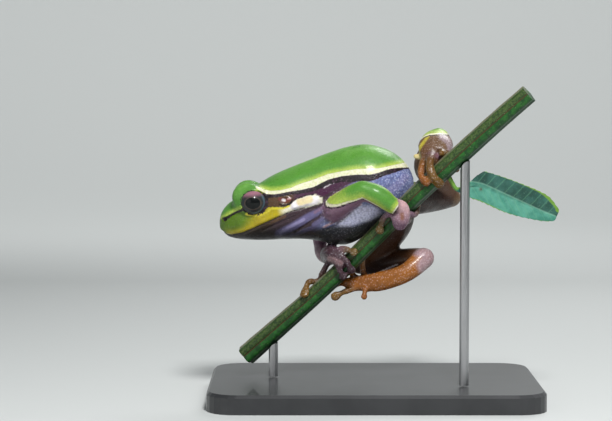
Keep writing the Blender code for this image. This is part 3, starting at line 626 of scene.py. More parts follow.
cheekStrokes = (
    (((-27.2, 39.2), (-24.7, 38.95), (-22.9, 39.55), (-21.9, 40.4), (-19.4, 40.5), (-17.8, 41.1)), 0.34,
     "brightYellow", 0.95),
    (((-17.0, 40.3), (-15.5, 40.9), (-13.4, 41.2)), 0.30, "throat", 0.45),
    (((-17.0, 40.95), (-15.0, 41.75), (-12.5, 42.15)), 1.15, "white", 0.95),
    (((-15.8, 41.75), (-13.7, 42.3)), 1.0, "padYellow", 0.8),
)
bandStrokes = (
    (((-20.0, 42.4), (-18.95, 42.05), (-18.1, 42.3)), 0.6, "drumRed", 0.8),
    # painted highlights: a white and a pale pink glint on the eardrum, and a wet glint along the band
    (((-19.4, 42.25), (-19.1, 42.15)), 0.4, "white", 0.85),
    (((-18.3, 42.5), (-17.9, 42.55)), 0.24, "pink", 0.9),
    (((-10.6, 44.9), (-9.4, 45.6), (-7.4, 46.45)), 0.2, "white", 0.75),
)


def heightAt(line, x):
    # height of a marking line at each place along the view
    table = np.asarray(line, float)
    return np.interp(x, table[:, 0], table[:, 1])


def lineDistance(line, u, v):
    # distance in the side view to a chain of straight runs
    table = np.asarray(line, float)
    best = np.full(len(u), 1e9)
    for (au, av), (bu, bv) in zip(table[:-1], table[1:]):
        run = np.array((bu - au, bv - av))
        t = np.clip(((u - au) * run[0] + (v - av) * run[1]) / (run @ run), 0, 1)
        best = np.minimum(best, np.hypot(u - au - t * run[0], v - av - t * run[1]))
    return best


def plainTone(tone, points):
    return np.broadcast_to(skinTones[tone], points.shape)


def tint(colour, tone, share):
    return blendRows(colour, skinTones[tone], share)


def paintStrokes(colour, u, v, strokes):
    for line, width, tone, strength in strokes:
        share = 1 - smoothStep(0.45 * width, width, lineDistance(line, u, v))
        colour = tint(colour, tone, strength * share)
    return colour


def cellDistance(points, spacing, seed):
    # distance to the nearest of one random point in each cell of a cubic grid, in cell widths
    scaled = points / spacing
    cell = np.floor(scaled)
    best = np.full(len(points), 9.0)
    for step in np.ndindex(3, 3, 3):
        corner = cell + np.array(step) - 1
        mix = corner @ np.array((127.1, 311.7, 74.7)) + seed
        jitter = np.modf(np.abs(np.sin(mix[:, None] + np.arange(3) * 19.19)) * 43758.5453)[0]
        best = np.minimum(best, np.linalg.norm(corner + jitter - scaled, axis=1))
    return best


def eyeRim(points, side):
    # distance from the eye's centre, and distance along the ball from the rim of the lens-shaped
    # opening: an ellipse of directions about a line of sight that is turned by the opening's shift
    radius = headSettings["eyeRadius"]
    shiftX, shiftZ = headSettings["openingShift"]
    offset = points - np.array(headSettings["eye"]) * (1, side, 1)
    distance = np.linalg.norm(offset, axis=1) + 1e-9
    sight = unit((shiftX / radius, side, shiftZ / radius))
    level = unit(np.cross(sight, (0, 0, side)))
    steep = np.cross(level, sight)
    way = offset / distance[:, None]
    wide, high = (size / radius for size in headSettings["opening"])
    around = np.arctan2(way @ steep / high, way @ level / wide)
    rim = np.arcsin(np.hypot(wide * np.cos(around), high * np.sin(around)))
    return distance, (np.arccos(np.clip(way @ sight, -1, 1)) - rim) * radius, offset


def sculptEyes(points):
    # inside the opening points sink behind the eyeball; outside they form a rounded lid
    radius, lid = headSettings["eyeRadius"], lidSettings
    for side in (-1, 1):
        distance, fromRim, offset = eyeRim(points, side)
        rounded = 1 - np.exp(-np.maximum(fromRim, 0) / lid["rounding"])
        outer = radius + lid["gap"] + lid["thickness"] * rounded
        inner = radius - lid["socket"]
        wanted = inner + (outer - inner) * smoothStep(*lid["rim"], fromRim)
        wanted += (np.maximum(wanted, distance) - wanted) * smoothStep(*lid["ontoHead"], fromRim)
        weight = (1 - smoothStep(*lid["fade"], fromRim)) * (1 - smoothStep(*lid["reach"], distance))
        points = points + offset * ((wanted / distance - 1) * weight)[:, None]
    return points


def sculptHead(points, normals):
    # moves along the normal: lip groove and lips, nostril pits, eardrum, cheek pad, snout edge
    u, v = sideView(points)
    head, carve = headSettings, carveSettings
    gap = (v - heightAt(head["mouth"], u)) * 0.92       # the mouth slopes, so the gap is a little less
    corner, soft = head["mouthCorner"], carve["cornerFade"]
    fade = 1 - smoothStep(corner - soft, corner + soft, u)
    fade = fade * (1 - smoothStep(*carve["underFade"], -normals[:, 2]))
    move = fade * bells(gap, carve["lips"])
    nose = np.hypot(u - head["nostril"][0], v - head["nostril"][1])
    move += bells(nose, carve["nostril"])
    wide, high = head["eardrumRadii"]
    drum = np.hypot((u - head["eardrum"][0]) / wide, (v - head["eardrum"][1]) / high)
    move += bells(drum, carve["eardrum"]) - carve["drumHollow"] * (1 - smoothStep(*carve["drumSpan"], drum))
    narrow, full = head["padWidth"]
    padSize = narrow + (full - narrow) * smoothStep(*carve["padSpan"], u)
    pad = lineDistance(head["pad"], u, v) / padSize
    move += carve["padRise"] * (1 - smoothStep(*carve["padFade"], pad)) + bells(pad, carve["padGroove"])
    ridge = lineDistance(head["canthus"], u, v)
    aboveEdge = v > heightAt(markSettings["snoutEdge"], u)
    move += bells(ridge, carve["canthus"]) + bells(ridge, carve["canthusRidge"]) * aboveEdge
    for line, width, tone, _ in jawStrokes:
        if tone == "throatFold":
            move += bells(lineDistance(line, u, v), carve["throatFold"])
        elif width > carve["swellFrom"]:
            move += bells(lineDistance(line, u, v), carve["throatSwell"])
    return move * ((u < carve["end"]) & (v > carve["floor"]))


def sculptBody(points, nearBody):
    # granules on belly and flank, and soft folds where the arm meets the breast
    u, v = sideView(points)
    carve = carveSettings
    onBody = 1 - smoothStep(0.2, 0.6, nearBody)
    low = 1 - smoothStep(-0.6, 0.3, v - heightAt(markSettings["darkLow"], u))
    aboveBelly = smoothStep(-0.6, 0.6, v - heightAt(markSettings["belly"], u))
    few = carve["bellyGranules"]
    granular = onBody * low * smoothStep(*carve["flankSpan"], u) * (few + (1 - few) * aboveBelly)
    cellGap = cellDistance(points, carve["beadSpacing"], carve["beadSeed"])
    bead = 1 - smoothStep(*carve["beadEdge"], cellGap)
    move = granular * (carve["beadRise"] * bead - carve["beadSink"])
    _, foldStroke, grooveStroke, _ = flankStrokes
    fold = bells(lineDistance(foldStroke[0], u, v), carve["armFold"])
    groove = bells(lineDistance(grooveStroke[0], u, v), carve["armGroove"])
    return move + onBody * (fold + groove), granular


def partNearness(points, part):
    # nearest place on the centre line: gap to the surface, share along the line and the way out from it
    path, size = part["path"], (part["wide"] + part["thick"]) / 2
    gap = np.full(len(points), 1e3)
    share = np.zeros(len(points))
    outward = np.tile((0.0, 0.0, 1.0), (len(points), 1))
    reach = size.max() + 3.0
    near = np.flatnonzero(np.all((points > path.min(0) - reach) & (points < path.max(0) + reach), axis=1))
    some = points[near]
    best = np.full(len(some), 1e3)
    where = np.zeros(len(some))
    for k in range(len(path) - 1):
        run = path[k + 1] - path[k]
        t = np.clip((some - path[k]) @ run / (run @ run), 0, 1)
        radius = size[k] + t * (size[k + 1] - size[k])
        away = np.linalg.norm(some - path[k] - t[:, None] * run, axis=1) - radius
        closer = away < best
        best = np.where(closer, away, best)
        where = np.where(closer, k + t, where)
    centre = np.stack([np.interp(where, np.arange(len(path)), path[:, k]) for k in range(3)], axis=1)
    gap[near] = best
    share[near] = where / (len(path) - 1)
    outward[near] = unit(some - centre + 1e-9)
    return gap, share, outward


def paintBody(points, normals):
    # soft colours of head and body, and distances to the green, cream and dark edges
    u, v = sideView(points)
    head, marks = headSettings, markSettings
    mouthGap = v - heightAt(head["mouth"], u)
    creamTop, darkTop, darkLow, blackWidth, snoutEdge = (
        heightAt(marks[name], u) for name in ("creamTop", "darkTop", "darkLow", "blackWidth", "snoutEdge"))
    # how far the skin faces downwards; such skin is painted darker as shade
    under = smoothStep(*marks["underTurn"], -normals[:, 2])

    colour = plainTone("flank", points)
    colour = paintStrokes(colour, u, v, flankStrokes)
    # painted shade below the belly line
    belowBelly = smoothStep(0.5, -0.5, v - heightAt(marks["belly"], u))
    colour = tint(colour, "chestShade", 0.95 * belowBelly)
    # painted shade on the skin that faces downwards
    colour = tint(colour, "undersideShade", 0.9 * under)
    jaw = plainTone("throatFold", points)
    jaw = paintStrokes(jaw, u, v, jawStrokes)
    # painted shade on the front of the lower jaw, under the upper lip
    front = 1 - smoothStep(*marks["jawTurn"], u - 0.6 * mouthGap)
    jaw = tint(jaw, "jawShade", 0.9 * front)
    # painted shade on the downward-facing skin of the jaw
    jaw = tint(jaw, "chestShade", 0.85 * under)
    colour = blendRows(colour, jaw, 1 - smoothStep(*marks["jawEnd"], u + 0.7 * (39.0 - v)))

    side = plainTone("snoutGreen", points)
    side = tint(side, "yellow", 0.9 * smoothStep(*marks["yellowTurn"], u - 0.5 * (v - 37.5)))
    lip = bell(mouthGap - 0.3, 0.8) * smoothStep(*marks["lipYellow"], u)
    side = tint(side, "yellow", 0.9 * lip)
    side = tint(side, "cream", smoothStep(*marks["creamTurn"], u + 0.3 * (v - 40)))
    side = paintStrokes(side, u, v, cheekStrokes)
    cheek = smoothStep(-0.06, 0.06, mouthGap) * (1 - smoothStep(*marks["cheekEnd"], u))
    colour = blendRows(colour, side, cheek)

    band = smoothStep(-0.10, 0.10, v - darkLow) * (u > marks["bandStart"])
    bandTone = tint(plainTone("bandBrown", points), "bandPurple", smoothStep(*marks["purpleTurn"], u))
    bandTone = paintStrokes(bandTone, u, v, bandStrokes)
    colour = blendRows(colour, bandTone, band)

    greenDist = np.where(u > marks["creamStart"], v - creamTop, v - snoutEdge)
    creamDist = np.where(u > marks["creamTop"][0][0], np.minimum(creamTop - v, v - darkTop), -1.0)
    black = np.minimum(darkTop - v, v - np.maximum(darkTop - blackWidth, darkLow))
    darkDist = np.where(u > marks["bandStart"], black, -1.0)
    start, end = marks["edgeSpan"]
    fineMarks = (
        marks["canthusHalf"] - lineDistance(head["canthus"], u, v),
        marks["nostrilHalf"] - np.hypot(u - head["nostril"][0], v - head["nostril"][1]),
        np.where(u < head["mouthCorner"], marks["mouthHalf"] - np.abs(mouthGap), -1.0),
        marks["drumHalf"] - lineDistance(head["eardrumShade"], u, v),
        np.where((u > start) & (u < end), marks["edgeHalf"] - np.abs(v - darkLow), -1.0))
    darkDist = np.maximum(darkDist, np.max(fineMarks, axis=0))
    for eyeSide in (-1, 1):
        distance, fromRim, _ = eyeRim(points, eyeSide)
        ring = np.maximum(darkDist, marks["eyeRing"] - fromRim)
        darkDist = np.where(distance < marks["eyeReach"], ring, darkDist)
    return colour, greenDist, creamDist, darkDist


limbMarks = {"rim": 0.28, "line": 0.22}      # widths of the cream rim and the dark line beside the green


def paintPart(part, share, outward, points):
    # along a limb: first tone to second; the green side ends in a cream rim and a dark line,
    # and a cap lies on the heel above a line of the side view
    first, second = part["tones"]
    colour = tint(plainTone(first, points), second, smoothStep(*part.get("turnAt", (0.15, 0.95)), share))
    greenDist = np.full(len(share), -5.0)
    if part["green"] is not None:
        (startWay, startLevel), (endWay, endLevel) = part["green"]
        way = unit(blendRows(np.broadcast_to(np.array(startWay, float), outward.shape), endWay, share))
        level = startLevel + (endLevel - startLevel) * share
        size = float(np.mean(part["wide"]))
        greenDist = (np.sum(outward * way, axis=1) - level) * size
    if "greenAfter" in part:
        greenDist = np.minimum(greenDist, points[:, 0] - part["greenAfter"])
    if "greenEnd" in part:
        path = part["path"]
        beyond = (points - path[-1]) @ unit(path[-1] - path[-2])
        greenDist = np.minimum(greenDist, part["greenEnd"] - beyond)
    u, v = sideView(points, mirrored=False)
    colour = paintStrokes(colour, u, v, part.get("strokes", ()))
    if part.get("cap"):
        greenDist = np.maximum(greenDist, v - heightAt(markSettings["heelCap"], u))
    rim, line = limbMarks["rim"], limbMarks["line"]
    creamDist = np.minimum(-greenDist, greenDist + rim)
    darkDist = np.minimum(-rim - greenDist, greenDist + rim + line)
    return colour, greenDist, creamDist, darkDist


skinSettings = {
    "voxel": 0.316,
    # rounds of smoothing where parts meet, at the foot of the brow, and over the finely cut head
    "jointRounds": 11, "browRounds": 70, "headRounds": 3,
    "jointWidth": 0.8, "digitShare": 0.45, "digitReach": 0.25,
    "browWidth": 1.9, "browPlace": -26.0, "browLength": 5.0, "browHeights": (39.5, 41.0),
    "fineHead": ((-40.0, -12.8), (34.2, 45.8)),     # span along X and span of heights that are cut finer
    "headEnd": -12.5, "headFloor": 33.0,
    "toneBlend": 0.22, "lidMargin": 0.5, "handGranules": 0.45,
}


def evaluatedMesh(thing):
    graph = bpy.context.evaluated_depsgraph_get()
    mesh = bpy.data.meshes.new_from_object(thing.evaluated_get(graph))
    thing.modifiers.clear()
    old = thing.data
    thing.data = mesh
    bpy.data.meshes.remove(old)
    return mesh


def refineHead(mesh):
    # faces of the head are cut in four, so that lids and lips have enough points
    shape = bmesh.new()
    shape.from_mesh(mesh)
    (front, back), (low, high) = skinSettings["fineHead"]
    middles = [face.calc_center_median() / mm for face in shape.faces]
    faces = [face for face, middle in zip(shape.faces, middles)
             if front < middle.x < back and low < middle.z < high]
    edges = list({edge for face in faces for edge in face.edges})
    bmesh.ops.subdivide_edges(shape, edges=edges, cuts=1, use_grid_fill=True)
    shape.to_mesh(mesh)
    shape.free()


def skinSurfaces(parts):
    # closed surfaces of body, brows, lids and every limb part, which the remesh makes one
    head = headSettings
    surfaces = [bodyRings()]
    for side in (-1, 1):
        mirror = np.array((1, side, 1))
        surfaces.append(ballRings(np.array(head["brow"]["centre"]) * mirror, head["brow"]["radii"]))
        surfaces.append(ballRings(np.array(head["eye"]) * mirror, [head["lidRadius"]] * 3))
    for part in parts:
        surfaces.append(tubeRings(part["path"], part["wide"], part["thick"], part["sides"], part["flat"]))
    return [ringSurface(rings) for rings in surfaces]


def softenSkin(points, edges, parts):
    # creases between parts are smoothed, the digits less, and the foot of each brow the most
    setting = skinSettings
    near = [bodyNearness(points)] + [partNearness(points, part)[0] for part in parts]
    order = np.sort(np.stack(near), axis=0)
    joint = bell(order[1] - order[0], setting["jointWidth"])
    digits = np.min(np.stack([n for n, part in zip(near[1:], parts) if "Digit" in part["name"]]), axis=0)
    joint *= np.where(digits < setting["digitReach"], setting["digitShare"], 1.0)
    points = relax(points, edges, joint, setting["jointRounds"])
    browJoin = bell(near[0], setting["browWidth"])
    browJoin = browJoin * bell(points[:, 0] - setting["browPlace"], setting["browLength"])
    browJoin = browJoin * smoothStep(*setting["browHeights"], points[:, 2])
    points = relax(points, edges, browJoin, setting["browRounds"])
    return relax(points, edges, np.full(len(points), 0.5), 2)


def makeSkin():
    parts = limbParts()
    skin = meshObject("frogSkin", *joinSurfaces(skinSurfaces(parts)))
    step = skin.modifiers.new("remesh", "REMESH")
    step.mode = "VOXEL"
    step.voxel_size = skinSettings["voxel"] * mm
    mesh = evaluatedMesh(skin)
    print("stage: skin remeshed,", len(mesh.vertices), "points")

    writePoints(mesh, softenSkin(readPoints(mesh), readRows(mesh.edges, "vertices", 2, int), parts))
    refineHead(mesh)
    print("stage: head refined,", len(mesh.vertices), "points")

    points = readPoints(mesh)
    head = (points[:, 0] < skinSettings["headEnd"]) & (points[:, 2] > skinSettings["headFloor"])
    edges = readRows(mesh.edges, "vertices", 2, int)
    points = relax(points, edges, head.astype(float), skinSettings["headRounds"])
    points = sculptEyes(points)
    writePoints(mesh, points)
    normals = readRows(mesh.vertex_normals, "vector", 3)
    bodyMove, granular = sculptBody(points, bodyNearness(points))
    move = sculptHead(points, normals) + bodyMove
    writePoints(mesh, points + normals * move[:, None])
    paintSkin(mesh, points, normals, parts, granular)
    mesh.shade_smooth()
    print("stage: skin sculpted and painted")
    return skin


def paintSkin(mesh, points, normals, parts, granular):
    # soft tones are mixed by nearness; the edge distances come from the nearest part alone
    setting = skinSettings
    lidBall = np.minimum(*[eyeRim(points, side)[0] for side in (-1, 1)])
    best = np.minimum(bodyNearness(points), lidBall - headSettings["lidRadius"] - setting["lidMargin"])
    tone, *distances = paintBody(points, normals)
    weight = np.exp(-np.clip(best, -1, 9) / setting["toneBlend"])
    total = tone * weight[:, None]
    for part in parts:
        gap, share, outward = partNearness(points, part)
        ownTone, *ownDistances = paintPart(part, share, outward, points)
        force = np.exp(-np.clip(gap, -1, 9) / setting["toneBlend"])
        total = total + ownTone * force[:, None]
        weight = weight + force
        mine = gap < best
        best = np.where(mine, gap, best)
        distances = [np.where(mine, own, other) for own, other in zip(ownDistances, distances)]
        if "hand" in part["name"] or "foot" in part["name"]:
            granular = np.where(mine, setting["handGranules"], granular)
    writeColours(mesh, "paint", total / weight[:, None])
    names = ("greenDist", "creamDist", "darkDist")
    writeValues(mesh, **dict(zip(names, distances)), granular=granular)


# Materials

def newMaterial(name):
    material = bpy.data.materials.new(name)
    material.use_nodes = True
    tree = material.node_tree
    return material, tree, tree.nodes["Principled BSDF"]


def setInputs(tree, node, inputs):
    # a value is set, and an output of another node is linked
    for key, value in inputs.items():
        if isinstance(value, bpy.types.NodeSocket):
            tree.links.new(value, node.inputs[key])
        else:
            node.inputs[key].default_value = value


def addNode(tree, kind, inputs=None, **settings):
    node = tree.nodes.new(kind)
    for key, value in settings.items():
        setattr(node, key, value)
    setInputs(tree, node, inputs or {})
    return node


def attribute(tree, name, output="Fac"):
    return addNode(tree, "ShaderNodeAttribute", attribute_name=name).outputs[output]


def math2(tree, operation, a, b=0.0, c=0.0):
    return addNode(tree, "ShaderNodeMath", {0: a, 1: b, 2: c}, operation=operation).outputs[0]


def ramp(tree, value, low, high, smooth=True):
    node = addNode(tree, "ShaderNodeMapRange", {"Value": value, "From Min": low, "From Max": high},
                   interpolation_type="SMOOTHSTEP" if smooth else "LINEAR", clamp=True)
    return node.outputs["Result"]


def mixColour(tree, share, first, second, blend="MIX"):
    node = addNode(tree, "ShaderNodeMix", data_type="RGBA", blend_type=blend)
    tones = {key: (*tone, 1) if isinstance(tone, tuple) else tone for key, tone in ((6, first), (7, second))}
    setInputs(tree, node, {0: share, **tones})
    return node.outputs[2]


def layTones(tree, colour, *layers):
    # each layer is a share, a strength, a tone and perhaps a way of blending, laid over the colour so far
    for share, strength, tone, *blend in layers:
        colour = mixColour(tree, math2(tree, "MULTIPLY", share, strength), colour, tone, *blend)
    return colour


def raggedStep(tree, rough, amount, distance, low, high):
    # a step across a marking edge that wanders by the rough value times the amount
    return ramp(tree, math2(tree, "MULTIPLY_ADD", rough, amount, distance), low, high)


def objectPlace(tree):
    return addNode(tree, "ShaderNodeTexCoord").outputs["Object"]


def noise(tree, scale, detail=3.0, rough=0.55, coords=None):
    return addNode(tree, "ShaderNodeTexNoise", {"Vector": coords or objectPlace(tree), "Scale": scale,
                                                "Detail": detail, "Roughness": rough}).outputs["Fac"]


def cells(tree, scale):
    inputs = {"Vector": objectPlace(tree), "Scale": scale}
    return addNode(tree, "ShaderNodeTexVoronoi", inputs).outputs["Distance"]


def bump(tree, height, strength, distance, before=None):
    inputs = {"Height": height, "Strength": strength, "Distance": distance * mm}
    if before is not None:
        inputs["Normal"] = before
    return addNode(tree, "ShaderNodeBump", inputs).outputs["Normal"]


def skinMaterial():
    material, tree, shader = newMaterial("frogSkinFinish")
    ragged = math2(tree, "SUBTRACT", noise(tree, 2600.0, 4.0, 0.7), 0.5)
    fine = math2(tree, "SUBTRACT", noise(tree, 6500.0, 3.0, 0.7), 0.5)
    mottle = noise(tree, 420.0, 4.0, 0.6)
    granular = attribute(tree, "granular")
    grain = cells(tree, 2200.0)
    # the gaps between granules are darkened as painted shade; the granule tops are lightened, partly as their
    # pale colour and partly as painted highlight
    beadTop = math2(tree, "MULTIPLY", ramp(tree, grain, 0.42, 0.10), granular)
    beadGap = math2(tree, "MULTIPLY", ramp(tree, grain, 0.45, 0.75), granular)
    speck = ramp(tree, noise(tree, 4800.0, 2.0, 0.5), 0.60, 0.74)
    base = layTones(tree, attribute(tree, "paint", "Color"),
                    (ramp(tree, mottle, 0.4, 0.72), 0.6, (0.62, 0.58, 0.64), "MULTIPLY"),
                    (beadGap, 0.42, (0.30, 0.28, 0.36), "MULTIPLY"),
                    (beadTop, 0.38, (0.85, 0.83, 0.92), "SCREEN"),
                    (speck, 0.10, (0.85, 0.82, 0.90), "SCREEN"))

    greenDist = attribute(tree, "greenDist")
    deep = raggedStep(tree, ragged, 0.8, greenDist, 0.0, 1.3)
    high = math2(tree, "MULTIPLY", ramp(tree, greenDist, 2.0, 5.5), ramp(tree, mottle, 0.25, 0.7))
    green = layTones(tree, mixColour(tree, deep, skinTones["limeGreen"], skinTones["leafGreen"]),
                     (high, 0.75, skinTones["backGreen"]),
                     (ramp(tree, mottle, 0.48, 0.8), 0.45, skinTones["mottleGreen"]),
                     (ramp(tree, cells(tree, 4200.0), 0.35, 0.7), 0.22, skinTones["poreGreen"]))
    cream = mixColour(tree, ramp(tree, ragged, -0.1, 0.15), skinTones["cream"], skinTones["paleCream"])
    dark = mixColour(tree, ramp(tree, noise(tree, 1900.0, 3.0), 0.52, 0.66), skinTones["dark"],
                     skinTones["darkSheen"])
    colour = base
    for distance, amount, low, high, tone in (
            (greenDist, 0.30, -0.09, 0.09, green),
            (attribute(tree, "creamDist"), 0.30, -0.09, 0.09, cream),
            (attribute(tree, "darkDist"), 0.95, -0.05, 0.09, dark)):
        colour = mixColour(tree, raggedStep(tree, ragged, amount, distance, low, high), colour, tone)

    first = bump(tree, ramp(tree, grain, 0.0, 0.7), 0.30, 0.10)
    shine = math2(tree, "MULTIPLY_ADD", fine, 0.35, mottle)
    setInputs(tree, shader, {
        "Base Color": colour,
        "Normal": bump(tree, fine, 0.30, 0.08, bump(tree, ragged, 0.22, 0.18, first)),
        "Roughness": ramp(tree, shine, 0.1, 1.05, False),
        "Specular IOR Level": 0.33, "Coat Weight": 0.15, "Coat Roughness": 0.12,
        "Subsurface Weight": 0.10, "Subsurface Radius": (1.0, 0.6, 0.3), "Subsurface Scale": 0.4 * mm})
    return material


# Eyes: a ball with a slight bulge in front, an oval lying pupil and a flecked iris

eyeSettings = {
    "bulge": 0.12, "bulgeWidth": 0.75, "rings": 60, "sides": 72,
    "pupil": (1.55, 1.20), "pupilOffset": (-0.10, -0.15),
    # the second tone on the next line is a painted reflection over the top of the iris
    "tones": screenTones({"iris": (50, 53, 56), "irisTop": (150, 104, 118), "fleck": (120, 92, 64),
                          "rimLight": (96, 124, 140)}),
}


def makeEye(name, side):
    # latitude circles about the line of sight, pushed out near the front for the cornea
    lean = np.linspace(0.01, math.pi - 0.01, eyeSettings["rings"])
    reach = headSettings["eyeRadius"] + eyeSettings["bulge"] * bell(lean, eyeSettings["bulgeWidth"])
    local = latheRings(reach * np.sin(lean), reach * np.cos(lean), eyeSettings["sides"])
    points, faces = ringSurface(local)
    centre = np.array(headSettings["eye"]) * (1, side, 1)
    placed = np.stack((points[:, 0], side * points[:, 2], points[:, 1]), axis=1) + centre
    eye = meshObject(name, placed, faces)
    eye.data.shade_smooth()
    offset = readPoints(eye.data) - centre
    x, z = offset[:, 0], offset[:, 2]
    pupilX, pupilZ = eyeSettings["pupilOffset"]
    wide, high = eyeSettings["pupil"]
    level = np.hypot((x - pupilX) / wide, (z - pupilZ) / high)
    # the arc near the iris rim is a painted reflection
    writeValues(eye.data, pupilDist=np.where(side * offset[:, 1] > 0, (level - 1) * 1.2, 3.0),
                irisTop=smoothStep(0.9, 2.0, z - 0.1 * x),
                rimLight=bell(np.hypot(x, z) - 2.25, 0.16) * smoothStep(0.3, 1.6, x - 0.5 * z))
    return eye


def eyeMaterial():
    material, tree, shader = newMaterial("eyeFinish")
    tones = eyeSettings["tones"]
    pupilDist = attribute(tree, "pupilDist")
    rim = math2(tree, "SUBTRACT", ramp(tree, pupilDist, 0.02, 0.12), ramp(tree, pupilDist, 0.12, 0.30))
    # painted reflection: purple-pink over the top of the iris
    iris = layTones(tree, mixColour(tree, attribute(tree, "irisTop"), tones["iris"], tones["irisTop"]),
                    (ramp(tree, noise(tree, 2800.0, 4.0, 0.7), 0.55, 0.72), 0.5, tones["fleck"]),
                    # painted reflection: a pale blue arc near the iris rim
                    (attribute(tree, "rimLight"), 0.6, tones["rimLight"]),
                    (rim, 0.30, tones["fleck"]))
    setInputs(tree, shader, {
        "Base Color": mixColour(tree, ramp(tree, pupilDist, -0.08, 0.08), (0.003, 0.004, 0.004), iris),
        "Roughness": 0.35, "Specular IOR Level": 0.10, "Coat Weight": 0.35, "Coat Roughness": 0.02})
    return material


# Stem and leaf

def makeStem():
    # radius times one plus a rounded wave for the ribs, less a narrow groove on the upper front
    stem = stemSettings
    x = np.linspace(stem["rows"][0][0], stem["rows"][-1][0], stem["rings"])
    centre, radius, front, upper = stemFrame(x)
    angle = turns(stem["sides"])
    groove = math.radians(stem["grooveTurn"])
    off = (angle - groove + math.pi) % math.tau - math.pi
    rib = 1 - stem["ribRise"] * (np.cos(stem["ribs"] * off) + 0.4)
    rib = rib - stem["grooveDepth"] * bell(off, stem["grooveWidth"])
    wave = stem["waver"] * np.sin(x * stem["waverPace"])[:, None] * np.cos(3 * angle)[None, :]
    size = radius[:, None] * (rib[None, :] + wave)
    rings = (centre[:, None, :] + (size * np.cos(angle))[:, :, None] * front[:, None, :]
             + (size * np.sin(angle))[:, :, None] * upper[:, None, :])
    stemThing = meshObject("greenStem", *ringSurface(rings))
    mesh = stemThing.data
    points = readPoints(mesh)
    spot, _, fronts, uppers = stemFrame(points[:, 0])
    off = points - spot
    turn = np.arctan2(np.sum(off * uppers, axis=1), np.sum(off * fronts, axis=1))
    writeValues(mesh, turnCos=np.cos(turn - groove), turnSin=np.sin(turn - groove))
    mesh.shade_smooth()
    mesh.set_sharp_from_angle(angle=math.radians(60))
    return stemThing


stemTones = screenTones({
    "deepGreen": (12, 58, 18), "green": (34, 96, 30), "deepOlive": (34, 58, 24), "olive": (74, 96, 46),
    # the first tone on the next line is a painted highlight along the stem's top edge
    "crestHighlight": (140, 134, 108), "shade": (10, 36, 20), "groove": (66, 38, 18), "dots": (120, 140, 92)})


def stemMaterial():
    # colours go by the turn about the stem, counted from the main groove upwards
    material, tree, shader = newMaterial("stemFinish")
    turn = math2(tree, "ARCTAN2", attribute(tree, "turnSin"), attribute(tree, "turnCos"))
    streak = noise(tree, 900.0, 4.0, 0.6)
    grain = math2(tree, "SUBTRACT", noise(tree, 2400.0, 4.0, 0.65), 0.5)
    green = mixColour(tree, ramp(tree, streak, 0.35, 0.7), stemTones["deepGreen"], stemTones["green"])
    facet = math2(tree, "MULTIPLY", ramp(tree, turn, 0.02, 0.14), ramp(tree, turn, 2.3, 1.7))
    pale = mixColour(tree, ramp(tree, grain, -0.12, 0.16), stemTones["deepOlive"], stemTones["olive"])
    # painted highlight along the stem's top edge, ragged by the grain
    crestHighlight = math2(tree, "MULTIPLY", raggedStep(tree, grain, 0.9, turn, 0.95, 1.35),
                  ramp(tree, turn, 2.0, 1.5))
    groove = math2(tree, "MULTIPLY", ramp(tree, math2(tree, "ABSOLUTE", turn), 0.11, 0.04),
                   ramp(tree, streak, 0.25, 0.45))
    green = layTones(tree, mixColour(tree, facet, green, pale),
                     (crestHighlight, 0.55, stemTones["crestHighlight"]),
                     (ramp(tree, turn, -0.75, -1.25), 0.6, stemTones["shade"]),
                     (groove, 0.85, stemTones["groove"]),
                     (ramp(tree, cells(tree, 1500.0), 0.20, 0.10), 0.35, stemTones["dots"]))
    setInputs(tree, shader, {
        "Base Color": green, "Normal": bump(tree, streak, 0.35, 0.15, bump(tree, grain, 0.3, 0.15)),
        "Roughness": 0.46, "Specular IOR Level": 0.4,
        "Subsurface Weight": 0.05, "Subsurface Scale": 0.4 * mm})
    return material


leafSettings = {
    # midrib with the blade's width above and below it
    "rows": ((17.0, -8.6, 44.75, 0.3, 0.35), (18.3, -8.35, 45.2, 0.7, 1.6), (19.8, -8.1, 45.5, 1.3, 2.4),
             (21.5, -7.8, 45.3, 3.4, 2.65), (23.2, -7.5, 44.8, 3.75, 2.75), (28.7, -6.6, 42.6, 4.0, 2.95),
             (34.5, -5.7, 40.3, 3.75, 2.1), (37.4, -5.2, 39.3, 2.2, 1.3), (38.1, -5.1, 39.0, 1.2, 0.8)),
    "stalk": ((15.1, -9.3, 47.9, 0.5), (15.9, -9.1, 46.4, 0.45), (16.7, -8.8, 45.2, 0.45),
              (17.8, -8.5, 45.0, 0.45)),
    "thickness": 0.45, "fold": 1.1, "fullWidth": 4.0, "veinRise": (1.3, 0.1),
    "teeth": 17, "toothDepth": 0.14,
    "midribGroove": 0.05, "veinDepth": 0.02, "veins": 11, "veinSlant": 1.3,
    "ripple": 0.12, "rippleAlong": 9, "rippleAcross": 2,
    "along": 150, "across": 41,
    "spot": (22.0, 45.0), "spotSize": 0.35,
}


